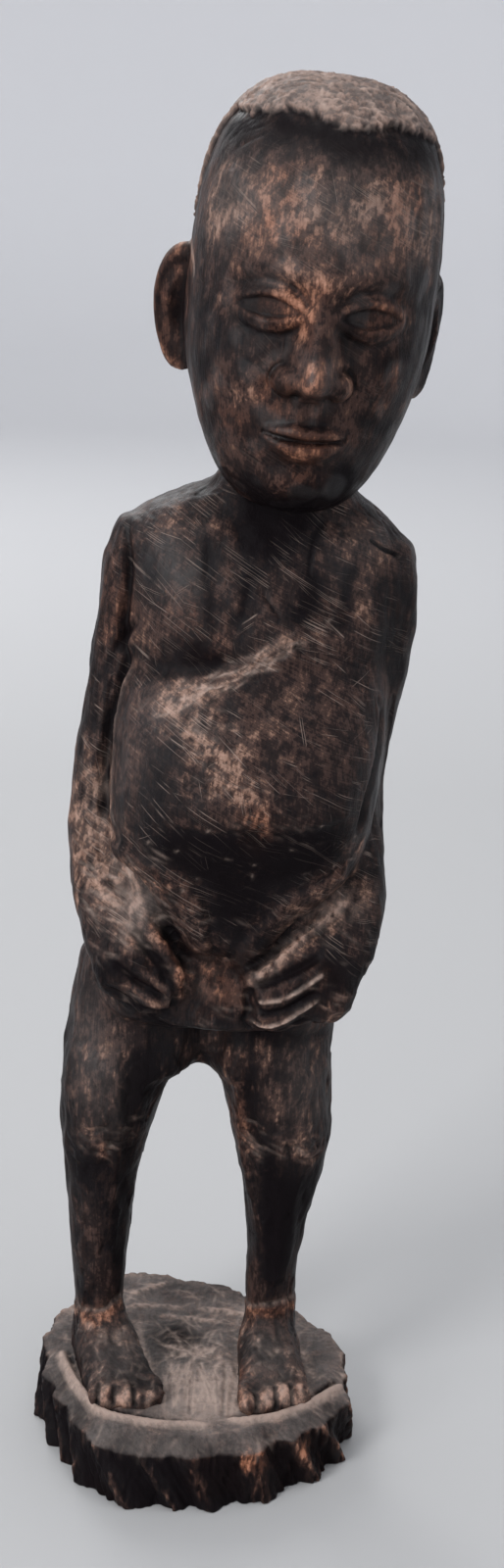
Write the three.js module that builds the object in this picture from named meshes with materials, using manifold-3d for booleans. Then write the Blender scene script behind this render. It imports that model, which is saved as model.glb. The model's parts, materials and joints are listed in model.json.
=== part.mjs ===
// A standing figure, carved together with its round base from one length of dark hardwood.
// Millimetres, +Z is up. The face looks towards -Y, and the origin is the middle of the
// underside of the base.
import * as THREE from "three";
import { mergeVertices } from "three/addons/utils/BufferGeometryUtils.js";
import Module from "manifold-3d";

const figureHeight = 300;
const baseHeight = 16;
const headHeight = 81;
const headWidth = 49;
const hairThickness = 1.1;
const headCentre = new THREE.Vector3(15.8, -1.5, figureHeight - headHeight / 2 - hairThickness);
const headLean = THREE.MathUtils.degToRad(5.2);
const headTurn = THREE.MathUtils.degToRad(4);
const headNod = THREE.MathUtils.degToRad(3);

const ebony = new THREE.MeshStandardMaterial({
  color: 0x3a2a22,
  roughness: 0.5,
  metalness: 0,
});

const wasm = await Module();
wasm.setup();

const { clamp, lerp, smoothstep } = THREE.MathUtils;
const bell = (x, middle, width) => Math.exp(-(((x - middle) / width) ** 2));

// A closed three.js geometry as a solid that can be joined and cut.
function solid(geometry) {
  const bare = geometry.clone();
  bare.deleteAttribute("normal");
  bare.deleteAttribute("uv");
  const merged = mergeVertices(bare, 1e-3);
  return new wasm.Manifold(
    new wasm.Mesh({
      numProp: 3,
      vertProperties: new Float32Array(merged.attributes.position.array),
      triVerts: new Uint32Array(merged.index.array),
    }),
  );
}

const join = (whole, piece) => whole.add(piece);

function geometryOf(joined) {
  const mesh = joined.getMesh();
  const geometry = new THREE.BufferGeometry();
  geometry.setAttribute("position", new THREE.BufferAttribute(mesh.vertProperties, 3));
  geometry.setIndex(new THREE.BufferAttribute(mesh.triVerts, 1));
  geometry.computeVertexNormals();
  return geometry;
}

// Moves every vertex of a geometry to the point that place returns for it.
function reshape(geometry, place) {
  const position = geometry.attributes.position;
  const from = new THREE.Vector3();
  for (let i = 0; i < position.count; i++) {
    from.fromBufferAttribute(position, i);
    const to = place(from);
    position.setXYZ(i, to.x, to.y, to.z);
  }
  return geometry;
}

// A limb or trunk: a cylinder drawn along smooth stations of [x, y, z, half width, half depth].
// Its sections stay level when upright is set, and otherwise stand square to its line, with
// their depth measured towards facing.
const forward = new THREE.Vector3(0, -1, 0);
const upward = new THREE.Vector3(0, 0, 1);

function limb(stations, sides, rows, { upright = false, squareness = 0, facing = forward } = {}) {
  const line = new THREE.CatmullRomCurve3(stations.map(([x, y, z]) => new THREE.Vector3(x, y, z)));
  const size = new THREE.CatmullRomCurve3(stations.map((s) => new THREE.Vector3(s[3], s[4], 0)));
  return reshape(new THREE.CylinderGeometry(1, 1, 1, sides, rows), (p) => {
    const t = clamp(p.y + 0.5, 0, 1);
    const reach = Math.min(1, Math.hypot(p.x, p.z));
    const angle = Math.atan2(p.z, p.x);
    const [wide, deep] = size.getPoint(t).toArray();
    const along = upright ? upward : line.getTangent(t);
    const side = new THREE.Vector3().crossVectors(along, facing).normalize();
    const front = new THREE.Vector3().crossVectors(side, along).normalize();
    const fuller = 1 + squareness * Math.sin(2 * angle) ** 2;
    return line
      .getPoint(t)
      .addScaledVector(side, reach * wide * fuller * Math.cos(angle))
      .addScaledVector(front, reach * deep * fuller * Math.sin(angle));
  });
}

// An egg-shaped lump with its own half sizes and turn, such as a palm, a toe or a buttock.
function lump([x, y, z], [a, b, c], turn = [0, 0, 0], sides = 12, rows = 8) {
  const matrix = new THREE.Matrix4().compose(
    new THREE.Vector3(x, y, z),
    new THREE.Quaternion().setFromEuler(new THREE.Euler(...turn)),
    new THREE.Vector3(a, b, c),
  );
  return new THREE.SphereGeometry(1, sides, rows).applyMatrix4(matrix);
}

// A finger or toe from its root to its tip, with round ends.
function digit(root, tip, radius, sides = 6) {
  const from = new THREE.Vector3(...root);
  const way = new THREE.Vector3(...tip).sub(from);
  const turn = new THREE.Quaternion().setFromUnitVectors(
    new THREE.Vector3(0, 1, 0),
    way.clone().normalize(),
  );
  return new THREE.CapsuleGeometry(radius, way.length(), 2, sides)
    .applyQuaternion(turn)
    .translate(...from.addScaledVector(way, 0.5).toArray());
}

// The base is a slice of the log, with its uneven outline and its ridged bark side.
const base = {
  // Radii of the outline, one for each 30 degrees from +X, anticlockwise seen from above.
  outline: [34.6, 31, 27, 31.5, 38.6, 37.8, 36.6, 35.6, 39.4, 36.6, 36, 37.2],
  ridges: 19,
  ridgeDepth: 2.4,
  rimWidth: 7,
  rimDrop: 2.2,
};

function outlineRadius(angle) {
  const radii = base.outline;
  const at = ((angle / (2 * Math.PI)) * radii.length + radii.length) % radii.length;
  const i = Math.floor(at);
  const eased = smoothstep(at - i, 0, 1);
  return lerp(radii[i], radii[(i + 1) % radii.length], eased);
}

function makeBase() {
  const { ridges, ridgeDepth, rimWidth, rimDrop } = base;
  // Across the profile: x is the share of the outline's radius, and y is the height.
  const profile = [
    [0, 0],
    [1, 0],
    [1.01, baseHeight * 0.45],
    [1, baseHeight - 0.8],
    [0.98, baseHeight],
    [1 - rimWidth / 36, baseHeight],
    [0, baseHeight],
  ].map(([x, y]) => new THREE.Vector2(x, y));
  const slice = new THREE.LatheGeometry(profile, 57).rotateX(Math.PI / 2);
  return reshape(slice, (p) => {
    const angle = Math.atan2(p.y, p.x);
    const share = Math.hypot(p.x, p.y);
    // The rim slopes down in front of the toes and stays level behind the heels.
    const slope = smoothstep(-Math.sin(angle), -0.35, 0.5) * smoothstep(share, 0.9, 0.99);
    const height = p.z - (p.z > baseHeight / 2 ? rimDrop * slope : 0);
    const wander = 0.6 * Math.sin(3 * angle + 1) + 0.35 * Math.sin(7 * angle);
    const ridge = Math.abs(Math.sin((ridges * angle) / 2 + wander)) - 0.6;
    const bark = smoothstep(share, 0.9, 1) * ridgeDepth * ridge * lerp(1, 0.45, p.z / baseHeight);
    const radius = outlineRadius(angle) * share + bark;
    return new THREE.Vector3(radius * Math.cos(angle), radius * Math.sin(angle), height);
  });
}

// Stations are x, y, z, half width and half depth, from the ankle up into the trunk.
const legStations = {
  left: [
    [-23.6, 2, 15, 6.6, 7.6],
    [-23.7, 1.5, 29, 5.8, 6.6],
    [-23.9, 2, 40, 6.4, 7.4],
    [-23.8, 2.4, 52, 7.3, 8.9],
    [-23.4, 1.4, 63, 8.5, 9.4],
    [-22.6, 0.4, 74, 10.2, 10.8],
    [-21.2, 0.6, 83, 11.6, 12.4],
    [-19.9, 0.8, 88.6, 12.8, 13.2],
    [-16.9, 1, 92.4, 15.7, 14.2],
    [-15.2, 2.4, 98, 16.8, 15.2],
    [-14.2, 2.6, 108, 16.4, 15.2],
    [-13, 0.6, 117, 15.8, 13.4],
    [-12, -1, 123, 12.5, 10.5],
  ],
  right: [
    [16.2, 2, 15, 6.8, 7.6],
    [16.2, 1.5, 29, 5.9, 6.8],
    [16.1, 2, 40, 6, 7.6],
    [16.7, 2.4, 52, 7, 9],
    [17.1, 1.4, 63, 9.2, 9.6],
    [17.1, 0.4, 74, 11.1, 10.8],
    [16, 0.6, 83, 12.2, 12.4],
    [15.1, 0.8, 88.6, 12.9, 13.2],
    [13.2, 1, 92.4, 14.6, 14.2],
    [12.8, 2.4, 98, 15.2, 15.2],
    [13.4, 2.6, 108, 15.2, 15.2],
    [13.6, 0.6, 117, 15.2, 13.4],
    [13, -1, 123, 12.5, 10.5],
  ],
};

// A foot runs forward from the heel. Its five toes lie side by side across the front.
const feet = {
  left: { heel: [-25, 6], ball: [-16.6, -18.5], big: 1 },
  right: { heel: [15.2, 6], ball: [17.6, -17.5], big: -1 },
};
const toeRadius = 1.75;
const footHalfWidth = 7.8;

function makeFoot({ heel, ball, big }) {
  const floor = baseHeight - 1;
  const along = (t) => [lerp(heel[0], ball[0], t), lerp(heel[1], ball[1], t)];
  const stations = [
    [-0.08, 3, 8],
    [0.05, 5.6, 12],
    [0.3, 6.8, 14.6],
    [0.6, 7.3, 10.8],
    [0.9, footHalfWidth, 7.4],
    [1.08, footHalfWidth - 0.4, 5],
  ].map(([t, wide, tall]) => [...along(t), floor, wide, tall]);
  const body = solid(limb(stations, 12, 7, { squareness: 0.16, facing: upward }));
  const way = new THREE.Vector2(ball[0] - heel[0], ball[1] - heel[1]).normalize();
  const toes = [];
  for (let k = -2; k <= 2; k++) {
    const across = k * 3.3;
    const inner = k * big;
    const radius = toeRadius + (inner === 2 ? 0.5 : 0);
    const reach = 3.8 + 1.1 * inner - 0.5 * Math.max(0, inner) ** 2;
    const root = [ball[0] - way.y * across, ball[1] + way.x * across, floor + 3.4];
    const tip = [root[0] + way.x * reach, root[1] + way.y * reach, floor + radius + 0.6];
    toes.push(solid(digit(root, tip, radius)));
  }
  const ground = solid(new THREE.BoxGeometry(120, 120, 30).translate(0, 0, floor - 15));
  return toes.reduce(join, body).subtract(ground);
}

// The trunk without its arms, from the point of the belly up to the neck. The belly and the
// chest stand forward, and the back is nearly straight with a shallow hollow at the waist.
const trunkStations = [
  [5.8, -3.4, 115, 6.5, 12],
  [5.6, -3.8, 120, 11.5, 15],
  [5.2, -4.6, 129, 18.4, 17.8],
  [4.9, -6, 137, 23.6, 20.2],
  [5.2, -7, 145, 26.8, 22.2],
  [5.8, -7.7, 153, 27.8, 23.9],
  [6.4, -7.6, 161, 28.1, 25],
  [6.9, -6.4, 170, 28.2, 25],
  [7.2, -4.6, 176.4, 28, 23.8],
  [7.5, -2.4, 181.6, 27.8, 22.2],
  [7.7, -0.6, 185.8, 27.7, 20.6],
  [8, -1, 191, 27.8, 21.2],
  [8.3, -0.2, 199, 28.2, 19],
  [8.2, 1, 207, 28.6, 16.8],
  [8, 1.8, 213, 27.2, 14.8],
  [8.4, 2, 217.2, 21.8, 13.2],
  [11, 2, 220.6, 14.8, 12.8],
  [12.6, 1.8, 224, 12.9, 12.8],
  [13.6, 1.8, 231, 12.5, 12.8],
  [14.6, 2, 240, 12.5, 12.4],
];

// The hips and the lap under the belly. Their lower edge overhangs the thighs.
const hipStations = [
  [2.6, -5, 106, 19, 11],
  [2, -4.6, 107.4, 24.5, 16],
  [1.8, -4.2, 111, 27, 17.8],
  [2.4, -3, 118, 27.4, 17.2],
  [3.4, -0.8, 128, 27.4, 16.4],
  [4.4, 0.8, 138, 26.6, 15],
  [5, 1.6, 147, 25, 13.6],
  [5.4, 1.4, 155, 21, 12],
];

// The arms run from inside the shoulder, past the elbow, to the wrist on the lap.
const armStations = {
  left: [
    [-7, 2, 210, 7, 8],
    [-14.6, 1.8, 208, 8.6, 9],
    [-17, 1.2, 201, 8, 9.2],
    [-18.6, 0.8, 189, 7.8, 8.8],
    [-20.4, 0.4, 176, 7.7, 8.4],
    [-22.4, -0.4, 162, 7.8, 8.2],
    [-23.6, -1.8, 149, 7.7, 8.4],
    [-22.9, -5.2, 139.4, 7.9, 7.8],
    [-20.6, -10.6, 131.4, 8.4, 6.8],
    [-17.8, -15.6, 125, 8.6, 5.6],
    [-15.4, -18, 120, 7.4, 4],
  ],
  right: [
    [23, 2, 209, 7, 8],
    [31.2, 1.6, 206, 8.7, 9.2],
    [32.4, 1.4, 197, 8.5, 9.2],
    [32.2, 1.6, 186, 8.1, 8.8],
    [30.3, 1.6, 173, 7.6, 8.4],
    [28.5, 1.2, 159, 7.3, 8.2],
    [28.8, -0.8, 147, 7.5, 8.4],
    [29.6, -4.8, 138, 7.5, 8],
    [29, -10.2, 130.6, 7.8, 7],
    [26.6, -15.4, 124.4, 8, 5.8],
    [23.6, -18.2, 119.4, 7.4, 4.2],
  ],
};

// Each hand lies flat on the lap: its back, the thumb, and the fingers from root to tip.
const hands = {
  left: {
    back: { at: [-16.4, -18.2, 120.6], size: [8.6, 4.4, 8.8], turn: [0.1, 0.5, 0] },
    thumb: { root: [-15.6, -17.6, 133.6], tip: [-7.2, -21.8, 120.6] },
    fingers: [
      { root: [-15.4, -21, 126.2], tip: [-8.4, -22.6, 117] },
      { root: [-18, -20.4, 122.4], tip: [-10.8, -22.2, 114.6] },
      { root: [-20.2, -19, 119], tip: [-13.8, -21.2, 113] },
    ],
  },
  right: {
    back: { at: [23.2, -18.8, 118], size: [8.4, 4.8, 9], turn: [0.1, -0.4, 0] },
    thumb: { root: [27.6, -16.4, 129.6], tip: [10, -21.8, 120] },
    fingers: [
      { root: [23, -21, 123.2], tip: [11.8, -23, 117.2] },
      { root: [23, -21.8, 118.4], tip: [12.2, -23.2, 113.6] },
      { root: [22, -21, 113.6], tip: [13.4, -22.2, 110.2] },
    ],
  },
};
const fingerRadius = 2.3;
const thumbRadius = 2.7;

function makeHand({ back, thumb, fingers }) {
  return [
    solid(lump(back.at, back.size, back.turn, 12, 8)),
    solid(digit(thumb.root, thumb.tip, thumbRadius)),
    ...fingers.map(({ root, tip }) => solid(digit(root, tip, fingerRadius))),
  ].reduce(join);
}

// A calm, even face. The brow, the nose and the chin divide it in thirds, an eye is a fifth of
// its width, and the mouth lies a third of the way from the nose to the chin. Heights are from
// the head's middle.
const third = headHeight / 3.75;
const browHeight = 6.5;
const noseBase = browHeight - third;
const mouthHeight = noseBase - third * 0.36;
const chinHeight = noseBase - third * 0.86;
const eyeSpacing = headWidth / 5;

// How far the brow, the cheeks and the chin stand out of the skull, and the eyes lie within it.
function faceRelief(x, z) {
  const side = Math.abs(x);
  const arch = browHeight - ((side - eyeSpacing) / 8) ** 2;
  const brow = 1.4 * bell(z, arch, 2.8) * (1 - smoothstep(side, 14, 21));
  const socket = -3.2 * bell(side, eyeSpacing, 6) * bell(z, 0.4, 4.2);
  const cheek = 1.4 * bell(side, 14, 6) * bell(z, noseBase + 5, 6);
  const muzzle = 1.8 * bell(x, 0, 11) * bell(z, mouthHeight, 7);
  const chin = 2.4 * bell(x, 0, 7) * bell(z, chinHeight, 4);
  return brow + socket + cheek + muzzle + chin;
}

// Pieces of the head are made upright round its middle, and take its nod, turn and lean here.
function headSolid(geometry) {
  return solid(
    geometry
      .rotateX(headNod)
      .rotateZ(headTurn)
      .rotateY(headLean)
      .translate(...headCentre.toArray()),
  );
}

// The egg of the skull, grown by a thickness, with the relief of the face where it is asked for.
function makeSkull(grow, relief) {
  const half = headHeight / 2 + grow;
  const skull = new THREE.SphereGeometry(1, 30, 24).rotateX(Math.PI / 2);
  reshape(skull, (p) => {
    const rise = clamp(p.z, -1, 1);
    // Meridians are drawn closer together over the face than over the back of the head.
    const even = Math.atan2(p.x, -p.y);
    const turn = even - 0.36 * Math.sin(even);
    const blunt = rise > 0 ? 2.9 : 3;
    const level = (1 - Math.abs(rise) ** blunt) ** (1 / blunt);
    const jaw = smoothstep(-rise, 0.05, 1);
    const x = (headWidth / 2 + grow - 5 * jaw) * level * Math.sin(turn);
    const z = half * rise;
    const deep = (28 + grow - 9 * jaw) * level;
    const front = smoothstep(Math.cos(turn), 0.15, 0.7);
    const carving = relief ? front * faceRelief(x, z) : 0;
    return new THREE.Vector3(x, -deep * Math.cos(turn) - 9 * jaw - carving, z);
  });
  return headSolid(skull);
}

// The close-cut hair is a thin cap. Its edge runs level and high round the forehead, and from
// the temples it drops over the ears to the nape.
function makeHair() {
  const edge = headHeight / 2 - 7;
  const box = () => new THREE.BoxGeometry(80, 80, 80);
  const front = box().translate(0, -40, -40).rotateY(0.03).translate(0, -2, edge);
  const back = box().translate(0, -40, -40).rotateX(0.37).translate(0, -2, edge);
  return makeSkull(hairThickness, false)
    .subtract(headSolid(front))
    .subtract(headSolid(back));
}

// The nose is a wedge with a wing on each side. Its stations run up to the bridge.
const noseStations = [
  [0, -27.6, noseBase - 0.6, 3.2, 4],
  [0, -29, noseBase + 2, 4.2, 6],
  [0, -29, noseBase + 6, 3.7, 5.8],
  [0, -28, -4, 2.9, 4.4],
  [0, -26.8, 2, 2.4, 3],
  [0, -25.5, browHeight + 1, 2, 2.2],
];

function makeFeatures() {
  const pair = (x, y, z, size, turn, sides, rows) =>
    [-1, 1].map((side) =>
      headSolid(lump([side * x, y, z], size, [0, 0, side * turn], sides, rows)),
    );
  return [
    headSolid(limb(noseStations, 8, 7, { upright: true })),
    ...pair(4.6, -28.6, noseBase + 2.6, [2.8, 3.6, 2.9], 0.3, 8, 6),
    ...pair(eyeSpacing, -21.8, 0, [5.6, 3.8, 3.3], 0.35, 10, 6),
    headSolid(lump([0, -25.2, mouthHeight + 1.7], [8.2, 5.2, 1.9], [0.1, 0, 0], 10, 6)),
    headSolid(lump([0, -25, mouthHeight - 2], [7.4, 5.2, 2.2], [-0.1, 0, 0], 10, 6)),
  ];
}

// An upright plate ear with a carved hollow. Side is -1 at the viewer's left and 1 at the right,
// and flare is how far its free edge turns out from the head.
function makeEar(side, flare) {
  const height = third;
  const at = [side * 24, 3, browHeight - height * 0.56];
  const turn = [0.12, 0, -side * flare];
  const outer = lump(at, [2.6, 7.6, height * 0.6], turn, 10, 8);
  const out = 2.6;
  const hollowAt = [
    at[0] + side * out * Math.cos(flare),
    at[1] - out * Math.sin(flare),
    at[2] + 1,
  ];
  const hollow = lump(hollowAt, [2, 4.6, height * 0.42], turn, 8, 6);
  return headSolid(outer).subtract(headSolid(hollow));
}

const level = { upright: true };
const pieces = [
  solid(makeBase()),
  ...Object.values(legStations).map((stations) => solid(limb(stations, 12, 24, level))),
  ...Object.values(feet).map(makeFoot),
  solid(lump([-0.8, 0.8, 99.4], [12, 7.6, 8.6], [0, 0, 0], 10, 6)),
  solid(limb(trunkStations, 25, 26, { ...level, squareness: 0.04 })),
  solid(limb(hipStations, 24, 10, { ...level, squareness: 0.04 })),
  ...Object.values(armStations).map((stations) => solid(limb(stations, 12, 18))),
  ...Object.values(hands).map(makeHand),
  makeSkull(0, true),
  makeHair(),
  ...makeFeatures(),
  makeEar(-1, 0.95),
  makeEar(1, 0.35),
];

const carvedFigure = new THREE.Mesh(
  geometryOf(pieces.reduce(join)),
  ebony,
);
carvedFigure.name = "carved_figure";

const figure = new THREE.Group();
figure.add(carvedFigure);

export default figure;
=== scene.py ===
# A standing figure and its round log base, carved from one length of dark hardwood.
import json
import math

import bmesh
import bpy
import numpy as np
from mathutils import Matrix, Vector
from mathutils.bvhtree import BVHTree
from mathutils.kdtree import KDTree

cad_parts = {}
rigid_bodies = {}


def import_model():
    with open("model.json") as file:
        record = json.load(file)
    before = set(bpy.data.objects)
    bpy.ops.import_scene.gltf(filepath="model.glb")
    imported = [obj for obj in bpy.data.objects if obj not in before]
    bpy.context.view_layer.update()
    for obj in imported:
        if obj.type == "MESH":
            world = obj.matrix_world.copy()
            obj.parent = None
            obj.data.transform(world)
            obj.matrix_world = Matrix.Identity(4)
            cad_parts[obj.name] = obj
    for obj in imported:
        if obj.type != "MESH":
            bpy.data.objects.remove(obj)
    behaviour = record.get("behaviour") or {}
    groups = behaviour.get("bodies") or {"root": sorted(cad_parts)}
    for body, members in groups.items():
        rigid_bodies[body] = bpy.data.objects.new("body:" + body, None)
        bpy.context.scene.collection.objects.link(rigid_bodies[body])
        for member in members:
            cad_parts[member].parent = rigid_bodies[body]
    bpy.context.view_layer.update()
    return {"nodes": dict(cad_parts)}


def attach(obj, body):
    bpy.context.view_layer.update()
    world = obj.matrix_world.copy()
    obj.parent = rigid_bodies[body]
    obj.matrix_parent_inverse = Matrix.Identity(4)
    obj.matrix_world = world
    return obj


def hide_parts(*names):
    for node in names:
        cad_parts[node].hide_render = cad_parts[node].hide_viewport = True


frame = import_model()
mm = 0.001
scene = bpy.context.scene
scene.view_settings.view_transform = "Standard"


# every length below is in millimetres, unless a line says otherwise
def bell(x, middle, width):
    return np.exp(-(((x - middle) / width) ** 2))


def ramp(x, low, high):
    t = np.clip((x - low) / (high - low), 0, 1)
    return t * t * (3 - 2 * t)


def toObject(name, bm):
    mesh = bpy.data.meshes.new(name)
    bm.to_mesh(mesh)
    bm.free()
    obj = bpy.data.objects.new(name, mesh)
    scene.collection.objects.link(obj)
    return obj


def drop(obj):
    mesh = obj.data
    bpy.data.objects.remove(obj)
    bpy.data.meshes.remove(mesh)


def placesOf(mesh):
    flat = np.zeros(len(mesh.vertices) * 3, np.float32)
    mesh.vertices.foreach_get("co", flat)
    return flat.reshape(-1, 3).astype(float) / mm


def setPlaces(mesh, places):
    mesh.vertices.foreach_set("co", (places * mm).astype(np.float32).ravel())
    mesh.update()


def normalsOf(mesh):
    flat = np.zeros(len(mesh.vertices) * 3, np.float32)
    mesh.vertex_normals.foreach_get("vector", flat)
    return flat.reshape(-1, 3).astype(float)


def applyModifiers(obj):
    bpy.context.view_layer.update()
    posed = obj.evaluated_get(bpy.context.evaluated_depsgraph_get())
    made = bpy.data.meshes.new_from_object(posed)
    old = obj.data
    obj.modifiers.clear()
    obj.data = made
    bpy.data.meshes.remove(old)


def remesh(obj, voxel):
    skin = obj.modifiers.new("skin", "REMESH")
    skin.mode = "VOXEL"
    skin.voxel_size = voxel * mm
    applyModifiers(obj)


# The two ends of every edge, and how many edges meet at each vertex.
def edgeEnds(mesh):
    pairs = np.zeros(len(mesh.edges) * 2, np.int32)
    mesh.edges.foreach_get("vertices", pairs)
    count = np.maximum(np.bincount(pairs, minlength=len(mesh.vertices)), 1)
    return pairs[0::2], pairs[1::2], count


# At each vertex, the sum of a value over the vertices that share an edge with it.
def sumAround(value, a, b):
    return np.bincount(a, value[b], len(value)) + np.bincount(b, value[a], len(value))


# Evens a mesh out without shrinking it; softness is 0 to 1 for each vertex.
def relax(mesh, rounds, softness):
    places = placesOf(mesh)
    a, b, count = edgeEnds(mesh)
    for factor in (0.5, -0.53) * rounds:  # a step in, then a slightly longer one out
        for axis in range(3):
            line = places[:, axis]
            mean = sumAround(line, a, b) / count
            places[:, axis] = line + factor * softness * (mean - line)
    setPlaces(mesh, places)


# A closed round shape from the radii and heights of its outline.
def spun(name, line, steps):
    bm = bmesh.new()
    profile = [bm.verts.new((r * mm, 0, z * mm)) for r, z in line]
    edges = [bm.edges.new(pair) for pair in zip(profile[:-1], profile[1:])]
    bmesh.ops.spin(
        bm,
        geom=profile + edges,
        cent=(0, 0, 0),
        axis=(0, 0, 1),
        angle=math.tau,
        steps=steps,
        use_merge=True,
    )
    bmesh.ops.remove_doubles(bm, verts=bm.verts, dist=1e-6)
    bmesh.ops.recalc_face_normals(bm, faces=bm.faces)
    return toObject(name, bm)


def smoothShaded(obj):
    for face in obj.data.polygons:
        face.use_smooth = True


def finderOf(points):
    finder = KDTree(len(points))
    for i, p in enumerate(points):
        finder.insert(p, i)
    finder.balance()
    return finder


def paintLayer(mesh, name, amount):
    layer = mesh.attributes.new(name, "FLOAT", "POINT")
    layer.data.foreach_set("value", np.clip(amount, 0, 1).astype(np.float32))


def cubeSphere(cuts):
    bm = bmesh.new()
    bmesh.ops.create_cube(bm, size=2)
    bmesh.ops.subdivide_edges(bm, edges=bm.edges, cuts=cuts, use_grid_fill=True)
    for v in bm.verts:
        x, y, z = (math.tan(c * math.pi / 4) for c in v.co)
        v.co = Vector((x, y, z)).normalized()
    return bm


# Smooth seeded unevenness, about -1 to 1, with features of the given size along each axis.
def unevenness(places, size, seed, waves=18):
    dice = np.random.default_rng(seed)
    size = np.ones(3) * size
    total = np.zeros(len(places))
    for _ in range(waves):
        way = dice.normal(size=3)
        way *= dice.uniform(0.6, 1.5) / np.linalg.norm(way)
        total += np.sin(places @ (way * math.tau / size) + dice.uniform(0, math.tau))
    return total / math.sqrt(waves) * 0.9


# A smooth line through a few marks, with points about a millimetre apart.
def smoothLine(marks):
    marks = np.array(marks, float)
    ends = np.vstack([2 * marks[0] - marks[1], marks, 2 * marks[-1] - marks[-2]])
    line = []
    for i in range(len(marks) - 1):
        a, b, c, d = ends[i : i + 4]
        for t in np.arange(0, 1, 1 / max(2, round(np.linalg.norm(c - b)))):
            line.append(
                0.5
                * (2 * b + (c - a) * t + (2 * a - 5 * b + 4 * c - d) * t**2
                   + (3 * b - 3 * c + d - a) * t**3)
            )
    return np.array(line + [marks[-1]])


# the dark paint is dark stain, and where it lies in grooves, hollows and under overhangs it is
# painted shade
paints = ("tan", "soot", "dust", "rust", "light", "scored", "polish")
# the light paint is pale worn wood, and in places a painted highlight
brokenUpPaints = ("tan", "light")

# the way tool marks run, and how far each may stray; outwards is away from the middle
ways = {
    "upright": ((0, 0, 1), (0.22, 0, 0)),
    "slanting": ((1, 0, -0.45), (0, 0, 0.3)),
    "rising": ((1, 0, 0.5), (0, 0, 0.35)),
    "level": ((1, 0, 0), (0, 0, 0.12)),
    "lengthways": ((0, 1, 0), (0.25, 0, 0)),
    "down": ((0, 0, 1), (0.12, 0.12, 0)),
    "hair": ((0, 0, -0.8), (0.9, 0.9, 0)),
    "any": ((0, 0, 0), (1, 1, 1)),
    "outwards": (None, (14, 14, 0)),
}


# What is left of a mark at a share of its length, where it fades out over both ends.
def fade(share, ends):
    return ramp(share, -0.02, ends) * (1 - ramp(share, 1 - ends, 1.02))


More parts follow.
